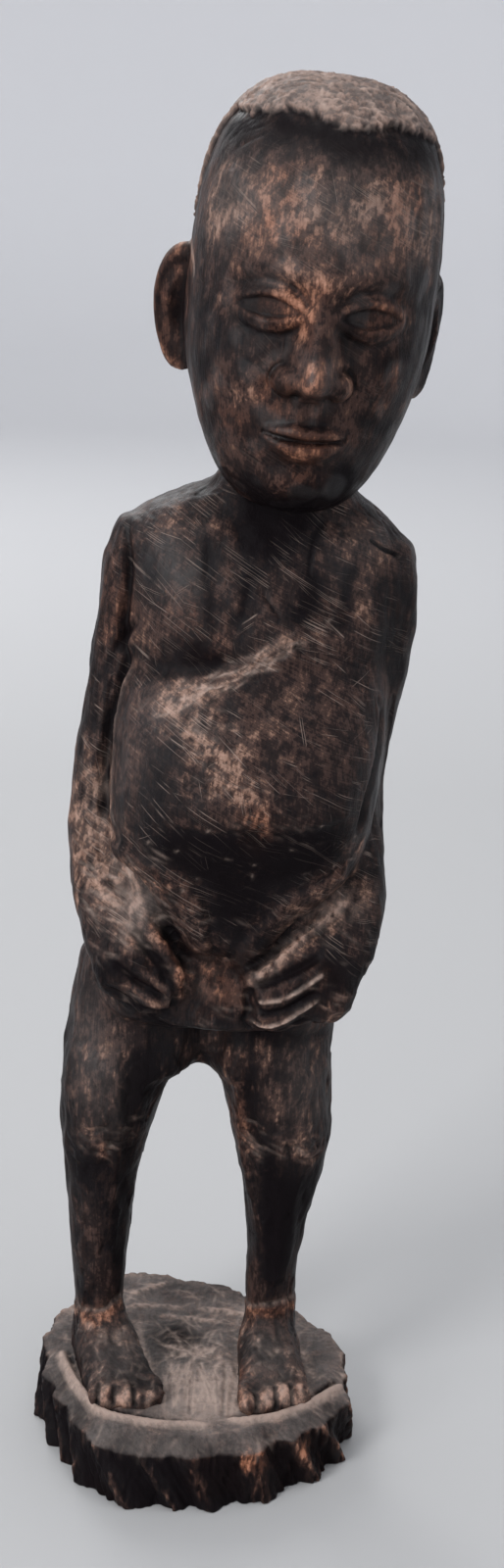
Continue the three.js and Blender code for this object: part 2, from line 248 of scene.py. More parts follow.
# The vertices of a piece while it is carved: each gets a lift along its normal and some paint.
class Skin:
    def __init__(self, obj):
        self.obj = obj
        self.places = placesOf(obj.data)
        self.normals = normalsOf(obj.data)
        self.lift = np.zeros(len(self.places))
        self.paint = {name: np.zeros(len(self.places)) for name in paints}
        bpy.context.view_layer.update()
        self.surface = BVHTree.FromObject(obj, bpy.context.evaluated_depsgraph_get())
        self.finder = finderOf(self.places)
        # two patterns that break up the tan and light paint, along marks and in patches
        self.fibrous = np.clip(0.8 + 0.5 * unevenness(self.places, (1.4, 1.4, 2.4), 51), 0, 1.4)
        self.patchy = np.clip(0.75 + 0.7 * unevenness(self.places, (3, 3, 5), 52), 0, 1.6)

    def onto(self, point):
        return np.array(self.surface.find_nearest(Vector(point) * mm)[0]) / mm

    # Vertices near a line: which, how far off, how far along (0 to 1), and on which side.
    def along(self, marks, reach):
        line = np.array([self.onto(p) for p in smoothLine(marks)])
        inside = (self.places > line.min(0) - reach) & (self.places < line.max(0) + reach)
        index = np.nonzero(inside.all(1))[0]
        p, n = self.places[index], self.normals[index]
        away = np.full(len(p), 1e9)
        share, side = np.zeros(len(p)), np.zeros(len(p))
        for i, (start, run) in enumerate(zip(line[:-1], np.diff(line, axis=0))):
            t = np.clip((p - start) @ run / max(run @ run, 1e-9), 0, 1)
            off = p - start - t[:, None] * run
            gap = np.linalg.norm(off, axis=1)
            closer = gap < away
            away[closer] = gap[closer]
            share[closer] = (i + t[closer]) / (len(line) - 1)
            side[closer] = np.sign((off * np.cross(run, n)).sum(1))[closer]
        keep = away < reach
        return index[keep], away[keep], share[keep], side[keep]

    # Adds paint to some vertices: dark stain and painted shade, pale wear and painted highlights,
    # and the other colours.
    def addPaint(self, index, share, colours, pattern=None):
        for name, amount in colours.items():
            broken = pattern[index] if pattern is not None and name in brokenUpPaints else 1
            self.paint[name][index] += amount * share * broken

    # A groove along the marks, or a ridge where depth is below 0, painted spread times as wide.
    def cut(self, marks, width, depth, ends, spread=1.5, **colours):
        index, away, share, _ = self.along(marks, max(width * 2.6, width * spread * 2.2))
        taper = fade(share, ends)
        self.lift[index] -= depth * bell(away, 0, width) * taper
        self.addPaint(index, bell(away, 0, width * spread) * taper, colours, self.fibrous)

    # The side to the right of the marks, seen from outside, stands up and fades away from them.
    def ledge(self, marks, height, width, reach, ends):
        index, away, share, side = self.along(marks, reach)
        step = ramp(side * away, -width, width) * (1 - ramp(away, reach * 0.35, reach))
        self.lift[index] += height * step * fade(share, ends)

    def paintAlong(self, marks, width, ends, **colours):
        index, away, share, _ = self.along(marks, width * 2.2)
        self.addPaint(index, bell(away, 0, width) * fade(share, ends), colours)

    # A soft mound, or a hollow where height is below 0, on an ellipsoid of the given half sizes.
    def mound(self, at, size, height=0.0, **colours):
        off = (self.places - np.array(at)) / np.array(size)
        share = np.exp(-((off**2).sum(1)))
        self.lift += height * share
        self.addPaint(slice(None), share, colours, self.patchy)

    # Short tool marks at scattered places inside an area, each a shallow arc along its way.
    def nicks(self, count, area, way, seed, length, width, depth, **colours):
        dice = np.random.default_rng(seed)
        likely = np.nonzero(area > dice.uniform(0.02, 1, len(area)))[0]
        main, stray = ways[way]
        for i in dice.choice(likely, min(count, len(likely)), replace=False):
            at, n = self.places[i], self.normals[i]
            aim = main or (at[0], at[1], 0)
            run = np.array([m + dice.normal(0, s) if s else m for m, s in zip(aim, stray)], float)
            run -= (run @ n) * n
            run /= max(np.linalg.norm(run), 1e-6)
            long = length * dice.uniform(0.5, 1.3)
            near = [hit[1] for hit in self.finder.find_range(at, long * 0.6 + 1)]
            off = self.places[near] - at
            t = off @ run
            across = off @ np.cross(n, run) - dice.uniform(-0.12, 0.12) * t * t / long
            shape = bell(across, 0, width) * bell(t, 0, long / 2)
            shape *= self.normals[near] @ n > 0.3
            self.lift[near] -= depth * dice.uniform(0.4, 1.3) * shape
            for name, amount in colours.items():
                self.paint[name][near] += amount * dice.uniform(0, 1) * shape

    # Flat knife cuts: patches round scattered seeds move towards their own planes.
    def facets(self, spacing, stretch, strength, limit, seed):
        dice = np.random.default_rng(seed)
        grid = np.array([1, 1, 1 / stretch])
        order = dice.permutation(len(self.places))
        taken, seeds = set(), []
        for i in order[: len(order) // 4]:
            key = tuple((self.places[i] * grid / spacing).astype(int))
            if key not in taken:
                taken.add(key)
                seeds.append(i)
        finder = finderOf(self.places[seeds] * grid)
        own = np.array([finder.find(p)[1] for p in self.places * grid])
        tilt = self.normals[seeds] + dice.normal(0, 0.11 / spacing, (len(seeds), 3))
        tilt /= np.linalg.norm(tilt, axis=1)[:, None]
        away = ((self.places - self.places[seeds][own]) * tilt[own]).sum(1)
        self.lift -= strength * np.clip(away, -limit, limit)

    # Moves the vertices, and leaves the paint on the mesh as attributes.
    def settle(self):
        setPlaces(self.obj.data, self.places + self.normals * self.lift[:, None])
        for name, amount in self.paint.items():
            paintLayer(self.obj.data, name, amount)


# Marks how sharply each vertex stands out or lies in: edges wear lighter, and hollows are darkened
# as painted shade.
def markEdges(obj, reach):
    places, normals = placesOf(obj.data), normalsOf(obj.data)
    a, b, count = edgeEnds(obj.data)
    run = places[b] - places[a]
    size = np.maximum((run**2).sum(1), 1e-6)
    total = np.bincount(a, -(run * normals[a]).sum(1) / size, len(places))
    total += np.bincount(b, (run * normals[b]).sum(1) / size, len(places))
    bend = total / count
    for _ in range(3):
        bend = 0.4 * bend + 0.6 * sumAround(bend, a, b) / count
    paintLayer(obj.data, "edge", bend / reach)
    paintLayer(obj.data, "hollow", -bend / reach)


head = {
    "height": 81,
    "width": 49,
    "depth": 56,
    "centre": (15.8, -1.5, 258.4),
    "lean": 5.2,
    "turn": 4,
    "nod": 3,
    "hairThickness": 1.1,
    "hairEdge": 33.5,
    "hairStrokes": 1500,
    "earSize": (2.6, 7.6, 12.96),  # half its thickness, width and height
    "earFlares": (0.95, 0.35),  # in radians, at the viewer's left and right
    "facetSize": 6.5,
    "facetDepth": 0.25,
    "voxel": 0.455,
}
# an even face: brow, nose and chin divide it in thirds, and an eye is a fifth of its width
third = head["height"] / 3.75
browHeight = 6.5
noseBase = browHeight - third
mouthHeight = noseBase - third * 0.36
chinHeight = noseBase - third * 0.86
eyeApart = head["width"] / 5


def turnBy(degrees, axis):
    return Matrix.Rotation(math.radians(degrees), 4, axis)


headPose = (
    Matrix.Translation(head["centre"])
    @ turnBy(head["lean"], "Y")
    @ turnBy(head["turn"], "Z")
    @ turnBy(head["nod"], "X")
)


def moved(places, matrix):
    m = np.array(matrix)
    return places @ m[:3, :3].T + m[:3, 3]


# The egg of the skull round its own middle, from points of a unit sphere.
def skull(points, grow):
    x, y, z = points.T
    reach = np.maximum(np.hypot(x, y), 1e-9)
    blunt = np.where(z > 0, 2.9, 3.0)
    scale = (reach**blunt + np.abs(z) ** blunt) ** (-1 / blunt)
    rise, level = z * scale, reach * scale
    jaw = ramp(-rise, 0.05, 1)
    across = (head["width"] / 2 + grow - 5 * jaw) * level * x / reach
    deep = (head["depth"] / 2 + grow - 9 * jaw) * level * y / reach
    return np.stack([across, deep - 9 * jaw, (head["height"] / 2 + grow) * rise], 1)


def skullObject(name, cuts, grow=0.0, relief=False):
    obj = toObject(name, cubeSphere(cuts))
    points = placesOf(obj.data) * mm
    places = skull(points, grow)
    if relief:
        facing = -points[:, 1] / np.maximum(np.hypot(points[:, 0], points[:, 1]), 1e-9)
        places[:, 1] -= ramp(facing, 0.15, 0.7) * faceForms(places[:, 0], places[:, 2])
    setPlaces(obj.data, moved(places, headPose))
    return obj


# Distance outside the almond of an eye, above it and below it.
def eyeEdges(side, z):
    arc = 1 - ((side - eyeApart) / 6.2) ** 2
    return z + 0.1 - 1.9 * arc, -0.1 - z - 1.6 * arc


def lipLines(x):
    full = np.clip(1 - (x / 8.4) ** 2, 0, 1)
    line = mouthHeight - 0.75 * full
    upper = line + 3.1 * full**0.8 - 0.6 * bell(x, 0, 1.3)
    return full, line, upper, line - 3.9 * full**0.7


def noseForm(x, z):
    side = np.abs(x)
    heights = [-16.3, -15.2, -14.1, -12.3, -9, -4, 2, 6.5, 11]
    out = np.interp(z, heights, [0, 2.8, 5.8, 7.3, 6.9, 4.7, 2.7, 1.2, 0])
    wide = np.interp(z, heights, [4, 4, 4.1, 4.4, 4.1, 3.5, 3.4, 4.4, 6])
    wedge = out * (1 - ramp(side, 0.12 * wide, 1.55 * wide))
    spread = ((side - 4.7) / 3.1) ** 2 + ((z + 12.8) / 2.8) ** 2
    wings = 4.2 * np.sqrt(np.clip(1 - spread, 0, 1))
    return (wedge**3 + wings**3) ** (1 / 3)


# How far the forms of the face stand out of the skull.
def faceForms(x, z):
    side = np.abs(x)
    arch = browHeight + 0.4 - ((side - eyeApart + 1) / 10) ** 2
    out = 1.3 * bell(z, arch, 2.8) * (1 - ramp(side, 14, 21))
    out -= 3.3 * bell(side, eyeApart, 6) * bell(z, 0.4, 4.4)
    out += 1.4 * bell(side, 14, 6) * bell(z, noseBase + 5, 6)
    out += 1.8 * bell(x, 0, 11) * bell(z, mouthHeight, 7)
    out += 2.4 * bell(x, 0, 7) * bell(z, chinHeight, 4)
    out -= 0.9 * bell(side, 20, 5) * bell(z, 9, 9)
    out += noseForm(x, z)
    ball = ((side - eyeApart) / 6.8) ** 2 + (z / 4.6) ** 2
    above, below = eyeEdges(side, z)
    outside = np.maximum(above, below)
    lid = 0.75 * ramp(outside, -0.1, 0.4) * (1 - ramp(outside, 0.9, 3.4))
    out += 3.1 * np.sqrt(np.clip(1 - ball, 0, 1)) + lid
    full, line, upper, lower = lipLines(x)
    over = (z - line) / (upper - line + 0.05)
    under = (line - z) / (line - lower + 0.05)
    top = np.sin(math.pi * np.clip(0.88 - 0.72 * over, 0, 1)) * (1 - ramp(over, 0.95, 1.3))
    low = np.sin(math.pi * np.clip(0.12 + 0.72 * under, 0, 1)) * (1 - ramp(under, 0.95, 1.25))
    out += np.sqrt(full) * np.where(z > line, 2.0 * top, 2.3 * low)
    out -= 1.0 * bell(z, lower.min() - 1.6, 1.8) * bell(x, 0, 8)
    lipGap = ramp(z, upper, upper + 1.4) * (1 - ramp(z, noseBase - 1, noseBase + 0.4))
    out += lipGap * (0.35 * bell(side, 2.1, 0.8) - 0.5 * bell(x, 0, 1.2))
    return out


earPoses = []


# An upright plate ear with a rim, a carved hollow and a lobe. Side is -1 at the viewer's left.
def earObject(side, flare):
    obj = toObject("ear", cubeSphere(40))
    a, b, c = (placesOf(obj.data) * mm).T
    reach = np.hypot(b, c)
    outer = a * side > 0
    rim = bell(reach, 0.86, 0.1) * ramp(b + 0.5 * c, -0.75, -0.2)
    fold = bell(np.hypot(b + 0.1, c - 0.05), 0.52, 0.09) * ramp(b, -0.1, 0.3) * bell(c, 0.05, 0.5)
    hollow = bell(np.hypot(b + 0.12, (c + 0.02) / 1.25), 0, 0.5)
    depth = np.where(outer, 1 + 0.3 * rim + 0.25 * fold - 1.15 * hollow, 1)
    thick, wide, tall = head["earSize"]
    places = np.stack([thick * a * depth, wide * (1 + 0.16 * c) * b, tall * c], 1)
    at = (side * 24, 3, browHeight - third * 0.56)
    pose = (
        headPose
        @ Matrix.Translation(at)
        @ turnBy(6.9, "X")
        @ turnBy(-side * math.degrees(flare), "Z")
    )
    setPlaces(obj.data, moved(places, pose))
    earPoses.append((side, pose))
    return obj


# Fine lines of the face, cut after the forms are joined.
def faceCuts(x, z):
    side = np.abs(x)
    above, below = eyeEdges(side, z)
    outside = np.maximum(above, below)
    near = bell(side, eyeApart, 7)
    cut = -0.45 * bell(outside, -0.2, 0.32) * near
    cut -= 0.55 * bell(above, 2.0, 0.4) * bell(side, eyeApart, 5.5)
    cut -= 0.2 * bell(below, 1.6, 0.4) * bell(side, eyeApart, 5)
    full, line, _, _ = lipLines(x)
    cut -= 1.25 * bell(z, line, 0.55) * ramp(full, -0.02, 0.12)
    wing = np.hypot((side - 4.5) / 3.3, (z + 12.6) / 3)
    cut -= 0.7 * bell(wing, 1.08, 0.12) * ramp(side, 4.5, 6) * bell(z, -11.6, 4)
    cut -= 1.8 * bell(side, 2.9, 1.15) * bell(z, -15.1, 0.8)
    return cut


def joinInto(target, others):
    bm = bmesh.new()
    for obj in [target] + others:
        bm.from_mesh(obj.data)
    bm.to_mesh(target.data)
    bm.free()
    for obj in others:
        drop(obj)


# How far inside the hair a point of the head is, in millimetres, from the head's own frame.
def hairDepth(x, y, z):
    ragged = 0.5 * np.sin(x * 1.9 + 2 * np.sin(y * 0.7)) * np.sin(x * 0.63 + y + 1)
    ragged += 0.22 * np.sin(x * 4.1 + y * 2.3) + 0.9 * np.sin(x * 0.35 + 1.2)
    above = z - (head["hairEdge"] - 0.03 * x)
    # beside the ears the edge runs down and back
    return np.where(y < -2, above, (above + 2.55 * (y + 2)) / 2.2) + ragged


def makeHead():
    obj = skullObject("figureHead", 110, relief=True)
    joinInto(obj, [earObject(-1, head["earFlares"][0]), earObject(1, head["earFlares"][1])])
    remesh(obj, head["voxel"])
    relax(obj.data, 2, 1.0)
    places = moved(placesOf(obj.data), headPose.inverted())
    normals = normalsOf(obj.data) @ np.array(headPose.to_3x3())
    x, y, z = places.T
    facing = ramp(-normals[:, 1], 0.05, 0.5) * ramp(-y, 8, 14)
    places[:, 1] -= faceCuts(x, z) * facing
    setPlaces(obj.data, moved(places, headPose))
    print("head: hair")
    skin = Skin(obj)
    paint = skin.paint
    onEar = (np.abs(x) > 23.5) & (z < 9)
    deep = hairDepth(x, y, z)
    hair = ramp(deep, -0.25, 0.25) * ~onEar
    skin.lift += head["hairThickness"] * hair
    strokes = head["hairStrokes"]
    skin.nicks(strokes, hair, "hair", 31, 5, 0.27, 0.3, tan=0.3)
    skin.nicks(strokes // 2, hair, "hair", 32, 4.4, 0.25, -0.2, light=0.8)
    paint["tan"] += hair * (0.75 + 0.12 * unevenness(skin.places, 8, 33))
    paint["dust"] += hair * 0.6
    paint["light"] += hair * 0.12
    # knife cuts, fainter over the face
    smooth = 0.22 * ramp(-y, 12, 18) * (1 - ramp(z, 9, 13))
    skin.facets(head["facetSize"], 1.6, (1 - hair) * (0.3 - smooth), head["facetDepth"], 30)
    hairShadow = bell(deep, -3.2, 2.8) * (1 - hair) * (y < 6)  # painted shadow under the edge of the hair
    paint["soot"] += hairShadow * (0.8 + 0.3 * unevenness(skin.places, 9, 34))
    brow = ramp(-y, 5, 14) * bell(z, 18, 8)
    face = ramp(-y, 5, 14) * (1 - ramp(z, 24, 28)) * (1 - hair)
    for name, amount in (("tan", 0.85), ("dust", 0.4), ("rust", 0.4)):
        paint[name] += brow * amount
    # patches: how much all over, how much more in a patch, its size, seed, and where it sets in
    for name, least, more, size, seed, low, high in (
        ("tan", 0.08, 0.6, 12, 35, 0, 1), ("soot", 0, 0.55, 10, 36, 0.1, 1.2),
        ("rust", 0.2, 0.5, 14, 40, -0.2, 1), ("polish", 0, 0.6, 9, 53, 0.2, 1),
    ):
        paint[name] += face * (least + more * ramp(unevenness(skin.places, size, seed), low, high))
    paint["polish"] += 0.9 * face * bell(x, 0, 3.4) * bell(z, -11, 5)
    paint["scored"] += 0.6 * brow + 0.1 * face
    paint["soot"] += 0.9 * (1 - ramp(z, -36, -27))  # painted shadow under the jaw
    for side, pose in earPoses:
        _, b, c = moved(skin.places, pose.inverted()).T
        _, wide, tall = head["earSize"]
        reach = np.hypot(b / (wide * (1 + 0.012 * c)), c / tall)
        here = onEar & (np.sign(x) == side)
        # the rim of each ear is painted light as a highlight, and its hollow and the groove inside
        # the rim are painted dark as shade
        paint["light"] += here * 0.7 * bell(reach, 1.02, 0.055) * skin.fibrous
        paint["tan"] += here * 0.3 * skin.patchy
        paint["soot"] += here * (0.7 * bell(reach, 0.1, 0.36) + 0.5 * bell(reach, 0.74, 0.08))
        paint["rust"] += here * 0.5
    skin.lift += (1 - hair) * 0.05 * unevenness(skin.places, 5, 37)
    forehead = (1 - hair) * ramp(-y, 4, 12) * ramp(z, 9, 12)
    sides = (1 - hair) * (1 - ramp(-y, -4, 4)) * ~onEar
    skin.nicks(260, forehead, "level", 38, 7, 0.22, 0.08, tan=0.4)
    skin.nicks(260, sides, "hair", 39, 5, 0.5, 0.16, soot=0.2)
    skin.settle()
    return obj


body = {
    "voxel": 1.42,
    "evening": 36,
    "keptEdges": 0.75,  # of hands and feet, while the rest is evened
    "footCut": 16.3,
    "footReach": 2.4,
    "neckReach": 3,
    "facetSize": 5.5,
    "facetDepth": 0.24,
    "triangles": 194000,
}


def handArea(y, z):
    return ramp(-y, 12, 17) * ramp(z, 106, 110) * (1 - ramp(z, 132, 137))


# Hands and feet stay sharper than the rest while the mesh is evened out.
def bodySoftness(places):
    _, y, z = places.T
    return 1 - body["keptEdges"] * np.maximum(handArea(y, z), 1 - ramp(z, 24, 30))


# In each cut come its marks, width, depth, the share of its length that fades out at both ends,
# how much wider its paint is, and the paint. Dark paint laid in a groove is painted shade.
def carveTorso(skin):
    # tendons of the neck and the notch between them, with painted shade in the notch and in the
    # grooves beside them
    skin.cut([(2.5, -10.7, 217.4), (6.5, -12.6, 213.4), (10.1, -14.5, 209)], 1.6, -0.5, 0.3)
    skin.cut([(19.6, -10.2, 216.4), (16.3, -12.2, 213.2), (11.1, -14.6, 208.6)], 1.6, -0.5, 0.3)
    skin.cut([(1, -10, 216), (4.6, -12.6, 211.6), (8.6, -15, 207)], 1.2, 0.2, 0.3, soot=0.3)
    skin.cut([(20.9, -9, 216), (18.2, -12, 210.8), (17.4, -16, 204)], 0.5, 0.4, 0.2, soot=0.8)
    skin.mound((10.4, -13.8, 213), (2.6, 4, 4.5), -0.4, soot=1.2)
    # collar bones
    skin.cut([(2, -11.5, 212.4), (-5, -10.6, 212.6), (-13, -7.5, 212.4)], 2, -0.5, 0.3)
    skin.cut([(19, -11.5, 211.4), (26, -10, 210.4), (33, -6, 208.6)], 2, -0.5, 0.3)
    skin.cut([(29.2, -8.9, 211.3), (32.3, -7.7, 209.5), (36.1, -5.1, 207.8)], 0.45, 0.7, 0.1, 1,
        soot=0.8)
    # upright flats of the chest, with painted shade in the grooves between them
    skin.cut([(-2.8, -12.3, 212.1), (-2.4, -15.3, 205.8), (-1.9, -18.4, 198.5), (-0.6, -20.6, 192)],
        1, 0.35, 0.2, 1.6, soot=0.8)
    skin.cut([(7.1, -15.6, 207.1), (5.4, -17.9, 201.6), (4.3, -20.7, 195.3)], 1, 0.3, 0.2, soot=0.7)
    skin.cut([(27.3, -11.5, 208.4), (25.5, -14.6, 202.6), (23.9, -18.4, 193.4)], 1.1, 0.3, 0.2,
        soot=0.8)
    skin.cut([(7.9, -17.6, 202.6), (9.9, -18.7, 200), (12.4, -19.9, 197)], 0.5, 0.5, 0.2, tan=0.5)
    skin.cut([(19.5, -13, 206), (18.2, -17, 200), (14.6, -20, 196)], 1.6, 0.4, 0.2, soot=0.5)
    skin.mound((-0.3, -19, 198), (2.6, 6, 9), 0.3, tan=0.45)
    # the chest stops at a step, and the belly stands out below it; the groove along the top of the
    # step is painted dark as shade
    left = [(-15, -14.6, 183), (-9.5, -19.3, 184.4), (-4.2, -20.2, 185.2), (2, -20.9, 186.8),
        (7.8, -22.1, 190.2), (15, -20.9, 193.7)]
    right = [(15, -20.9, 193.7), (19.1, -20.7, 190.2), (25.2, -17.5, 187.2), (32.5, -11.6, 183.9)]
    skin.ledge(left, 0.75, 1.3, 12, 0.1)
    skin.ledge(right, 0.5, 1.2, 9, 0.15)
    skin.cut([(p[0], p[1], p[2] + 2) for p in left[:4]], 1.2, 0.2, 0.1, 2, soot=0.6)
    skin.cut([(1, -22.4, 184.6), (6, -22, 187.6), (11, -21.4, 191), (16, -20.6, 194)], 1.3, -0.2,
        0.1, 1.1, light=0.15, tan=0.7)
    skin.cut([(-9, -20, 182.6), (-2, -22, 182.2), (3, -22.8, 183.4)], 1.2, 0, 0.1, 1.6, light=0.1,
        tan=0.5)
    skin.cut([(14.4, -20.6, 192), (17.4, -20.6, 190.6)], 0.8, 0.7, 0.3, soot=0.6)
    # hollows of the armpits: a ridge painted tan, and a groove beside it painted dark as shade
    skin.cut([(-15, -13.4, 192.9), (-18.8, -7.9, 186.3), (-21.2, -7.7, 177.8)], 1, -0.7, 0.2,
        tan=0.4)
    skin.cut([(-17.4, -11, 194), (-20.4, -7, 188), (-23, -6.4, 181)], 0.9, 0.6, 0.2, soot=0.4)
    # the line between the left arm and the trunk, painted dark as shade, with a low ridge beside it
    # painted light as a highlight, then the same line on the right
    skin.cut([(-19.2, -3.3, 212.8), (-19.1, -7.2, 202.5), (-19.6, -7.6, 191.3), (-19.6, -9, 183),
        (-21.9, -7.8, 172.6), (-23.3, -8.4, 162.1), (-23.1, -9.5, 153.8), (-22.4, -10.4, 147.6)],
        1.1, 1.7, 0.12, 1, soot=0.6)
    skin.cut([(-16.8, -11, 186), (-19.2, -10.6, 176), (-20.8, -12, 166), (-20.6, -13, 156),
        (-19, -16, 149.6)], 1, -0.55, 0.15, 0.8, light=0.25)
    skin.cut([(34.1, -11.5, 178.3), (33.3, -16, 169.1), (31.5, -19.6, 160.8), (29.6, -21.4, 152.6)],
        1.2, 1.8, 0.2, 1.2, soot=0.6)
    # the sides of the lower belly run down to a point between the hands; the grooves beside them
    # and the hollow at the point are painted dark as shade
    leftTop = [(-22.4, -10.5, 148.1), (-17.3, -21.1, 148.4), (-12, -25.4, 146.9),
        (-5.9, -27.2, 144.1), (-1.8, -26.3, 139.1), (-0.5, -22.9, 131.4), (0.4, -19.3, 123.3)]
    rightTop = [(27.9, -21, 147.3), (22, -24, 142.9), (15.6, -25.8, 140.1), (12.3, -24.4, 135.1),
        (7.4, -22.1, 128.6), (3.5, -19.2, 121.2)]
    skin.ledge(leftTop, 1.2, 0.8, 7, 0.1)
    skin.ledge(rightTop[::-1], 1.2, 0.8, 7, 0.1)
    skin.ledge([(-14, -26, 156), (-6, -29.6, 156.4), (3, -31.6, 155.6), (14, -31, 155.8),
        (24, -27, 157.4), (29.6, -22, 158.6)][::-1], 0.5, 1, 9, 0.15)
    skin.cut([(-21.6, -11.1, 144.7), (-15.8, -19.6, 140.9), (-11.1, -19.3, 133.9),
        (-8.6, -16.1, 127.2), (-5.8, -18.3, 122.1), (-5.4, -19.7, 118.5)], 1.2, 1.1, 0.15, 1.4,
        soot=0.35)
    skin.cut([(32.7, -11.4, 141.6), (25, -17.2, 137.6), (17.5, -19.8, 131.8), (11.7, -19, 124.7),
        (7.2, -22.5, 121)], 1.1, 1.1, 0.15, 1.4, soot=0.45)
    skin.mound((3, -19.5, 122), (3.5, 5, 4), -1.2, soot=0.5)
    skin.mound((6.5, -27, 141), (11, 8, 11), -1.6)
    # small marks round the navel
    skin.cut([(9.4, -32, 159.6), (10.2, -32, 157), (8.6, -32, 155.4)], 0.9, 0.5, 0.3, tan=0.5)
    skin.cut([(2, -31.8, 156.4), (6, -32, 155.6), (11, -31.8, 155.9), (15, -30.8, 155)], 1, 0.5,
        0.3)
    skin.mound((9, -32, 152.5), (2.4, 4, 3), -0.6, rust=0.4)


def carveHands(skin):
    # right hand: four fingers with painted shade in the gaps, and upper edges painted light, partly
    # as wear and partly as a painted highlight
    skin.cut([(8.2, -23.4, 120.6), (11.3, -23.9, 120.4), (16.8, -22.7, 122.3), (23.4, -21.5, 126)],
        0.9, 1, 0.15, 1.3, soot=0.9)
    skin.cut([(9.6, -24.6, 116.4), (17, -23.2, 117.7), (24.4, -23.1, 123)], 0.5, -0.75, 0.12, 0.8,
        light=0.9)
    skin.cut([(9.6, -23.6, 113.6), (16.2, -23.4, 115), (23.6, -23.4, 119.2)], 0.9, 1.2, 0.15, 1.2,
        soot=0.9)
    skin.cut([(9, -21.3, 110.7), (16.2, -23.2, 112.5), (23.4, -23.8, 117)], 0.5, -0.75, 0.12, 0.8,
        light=0.9)
    skin.cut([(10.4, -20.9, 108.4), (15.6, -23, 109.8), (22.5, -22.6, 113.2)], 0.9, 0.7, 0.2, 1.2,
        soot=0.8)
    skin.cut([(9.4, -24, 119), (7.6, -22, 116.6), (8.4, -22, 113.2), (7.6, -20.5, 110.6),
        (9.6, -20, 108)], 0.8, 0.9, 0.1, 1.3, soot=0.4)
    skin.cut([(8.4, -23, 119.4), (12.5, -22.4, 123.2), (20, -17.6, 128.8), (28.6, -13.6, 136.4)],
        0.8, -0.7, 0.1, 1.6, tan=1.1, light=0.4)
    skin.cut([(24.6, -23, 127.4), (27, -23.4, 122), (27.2, -22.6, 117)], 1.2, 0.35, 0.3, soot=0.3)
    # left hand: a fist with its thumb along the top and three fingers under it, with painted shade
    # in the gaps between them
    skin.cut([(-14.4, -20, 133), (-10.4, -21.1, 129.2), (-7.7, -22.2, 125.4), (-5.5, -23.6, 119.9),
        (-5.8, -20.9, 114.4)], 0.9, -0.35, 0.12, 1.2, tan=0.7, rust=0.6)
    skin.cut([(-16.6, -20.6, 130.6), (-12.8, -22, 126.6), (-9.8, -23, 123), (-8.2, -23.6, 118.6)],
        0.9, 1.2, 0.15, 1.3, soot=0.9)
    skin.cut([(-18.6, -21.4, 127.2), (-15.3, -22.6, 123.4), (-11.6, -24.1, 120.8),
        (-8.4, -24, 118.6)], 0.9, -0.35, 0.15, 1.2, tan=0.5)
    for knuckle in ([(-17.6, -21.6, 129), (-14, -22.4, 127)], [(-13.4, -23, 124), (-11, -23, 122)],
                    [(-16, -23, 120), (-13, -24, 118)], [(-11, -24, 118), (-9, -24, 116)]):
        skin.cut(knuckle, 0.8, 0.4, 0.2, 1.2, tan=0.7, rust=0.5)
    skin.cut([(-20.4, -21.4, 123.6), (-15.8, -23, 120.2), (-11.6, -24.1, 117.8), (-8, -23, 115.8)],
        0.8, 0.9, 0.15, 1.2, soot=0.8)
    skin.cut([(-21, -21.8, 120.6), (-15.2, -23.2, 117.2), (-10.5, -24.1, 115), (-7, -21.4, 113.3)],
        0.8, -0.3, 0.15, 1.2, tan=0.5)
    skin.cut([(-21.6, -20, 117.4), (-15.8, -22.6, 114.2), (-10.6, -23, 112.4), (-7.4, -21, 111.6)],
        0.9, 1.0, 0.15, 1.2, soot=0.8)
    skin.cut([(-8, -23.8, 121), (-7, -23, 117), (-7.2, -21.6, 113)], 0.7, 0.8, 0.2, 1.2, soot=0.4)
    # nails as small flats
    for at in [(10.8, -24.6, 118), (10.6, -22.8, 112.2), (-6.4, -23.4, 120.6)]:
        skin.mound(at, (1.5, 2, 1.3), 0.25, tan=0.4)
    # the lower edge of hands and belly, cut back over the thighs, with painted shadow under it
    skin.cut([(-23.7, -17.8, 113.2), (-15.2, -21, 109.2), (-7.5, -19, 106.6), (3.9, -18.6, 105.8),
        (11.8, -13, 103.2), (20, -7, 101.6), (27.5, -2.6, 100.8)], 1.6, 0.9, 0.15, 1.6, soot=0.9)
    skin.cut([(-4.6, -21, 111.4), (0, -20.8, 110.2), (4.6, -20.6, 109.8)], 1.4, -0.5, 0.3)


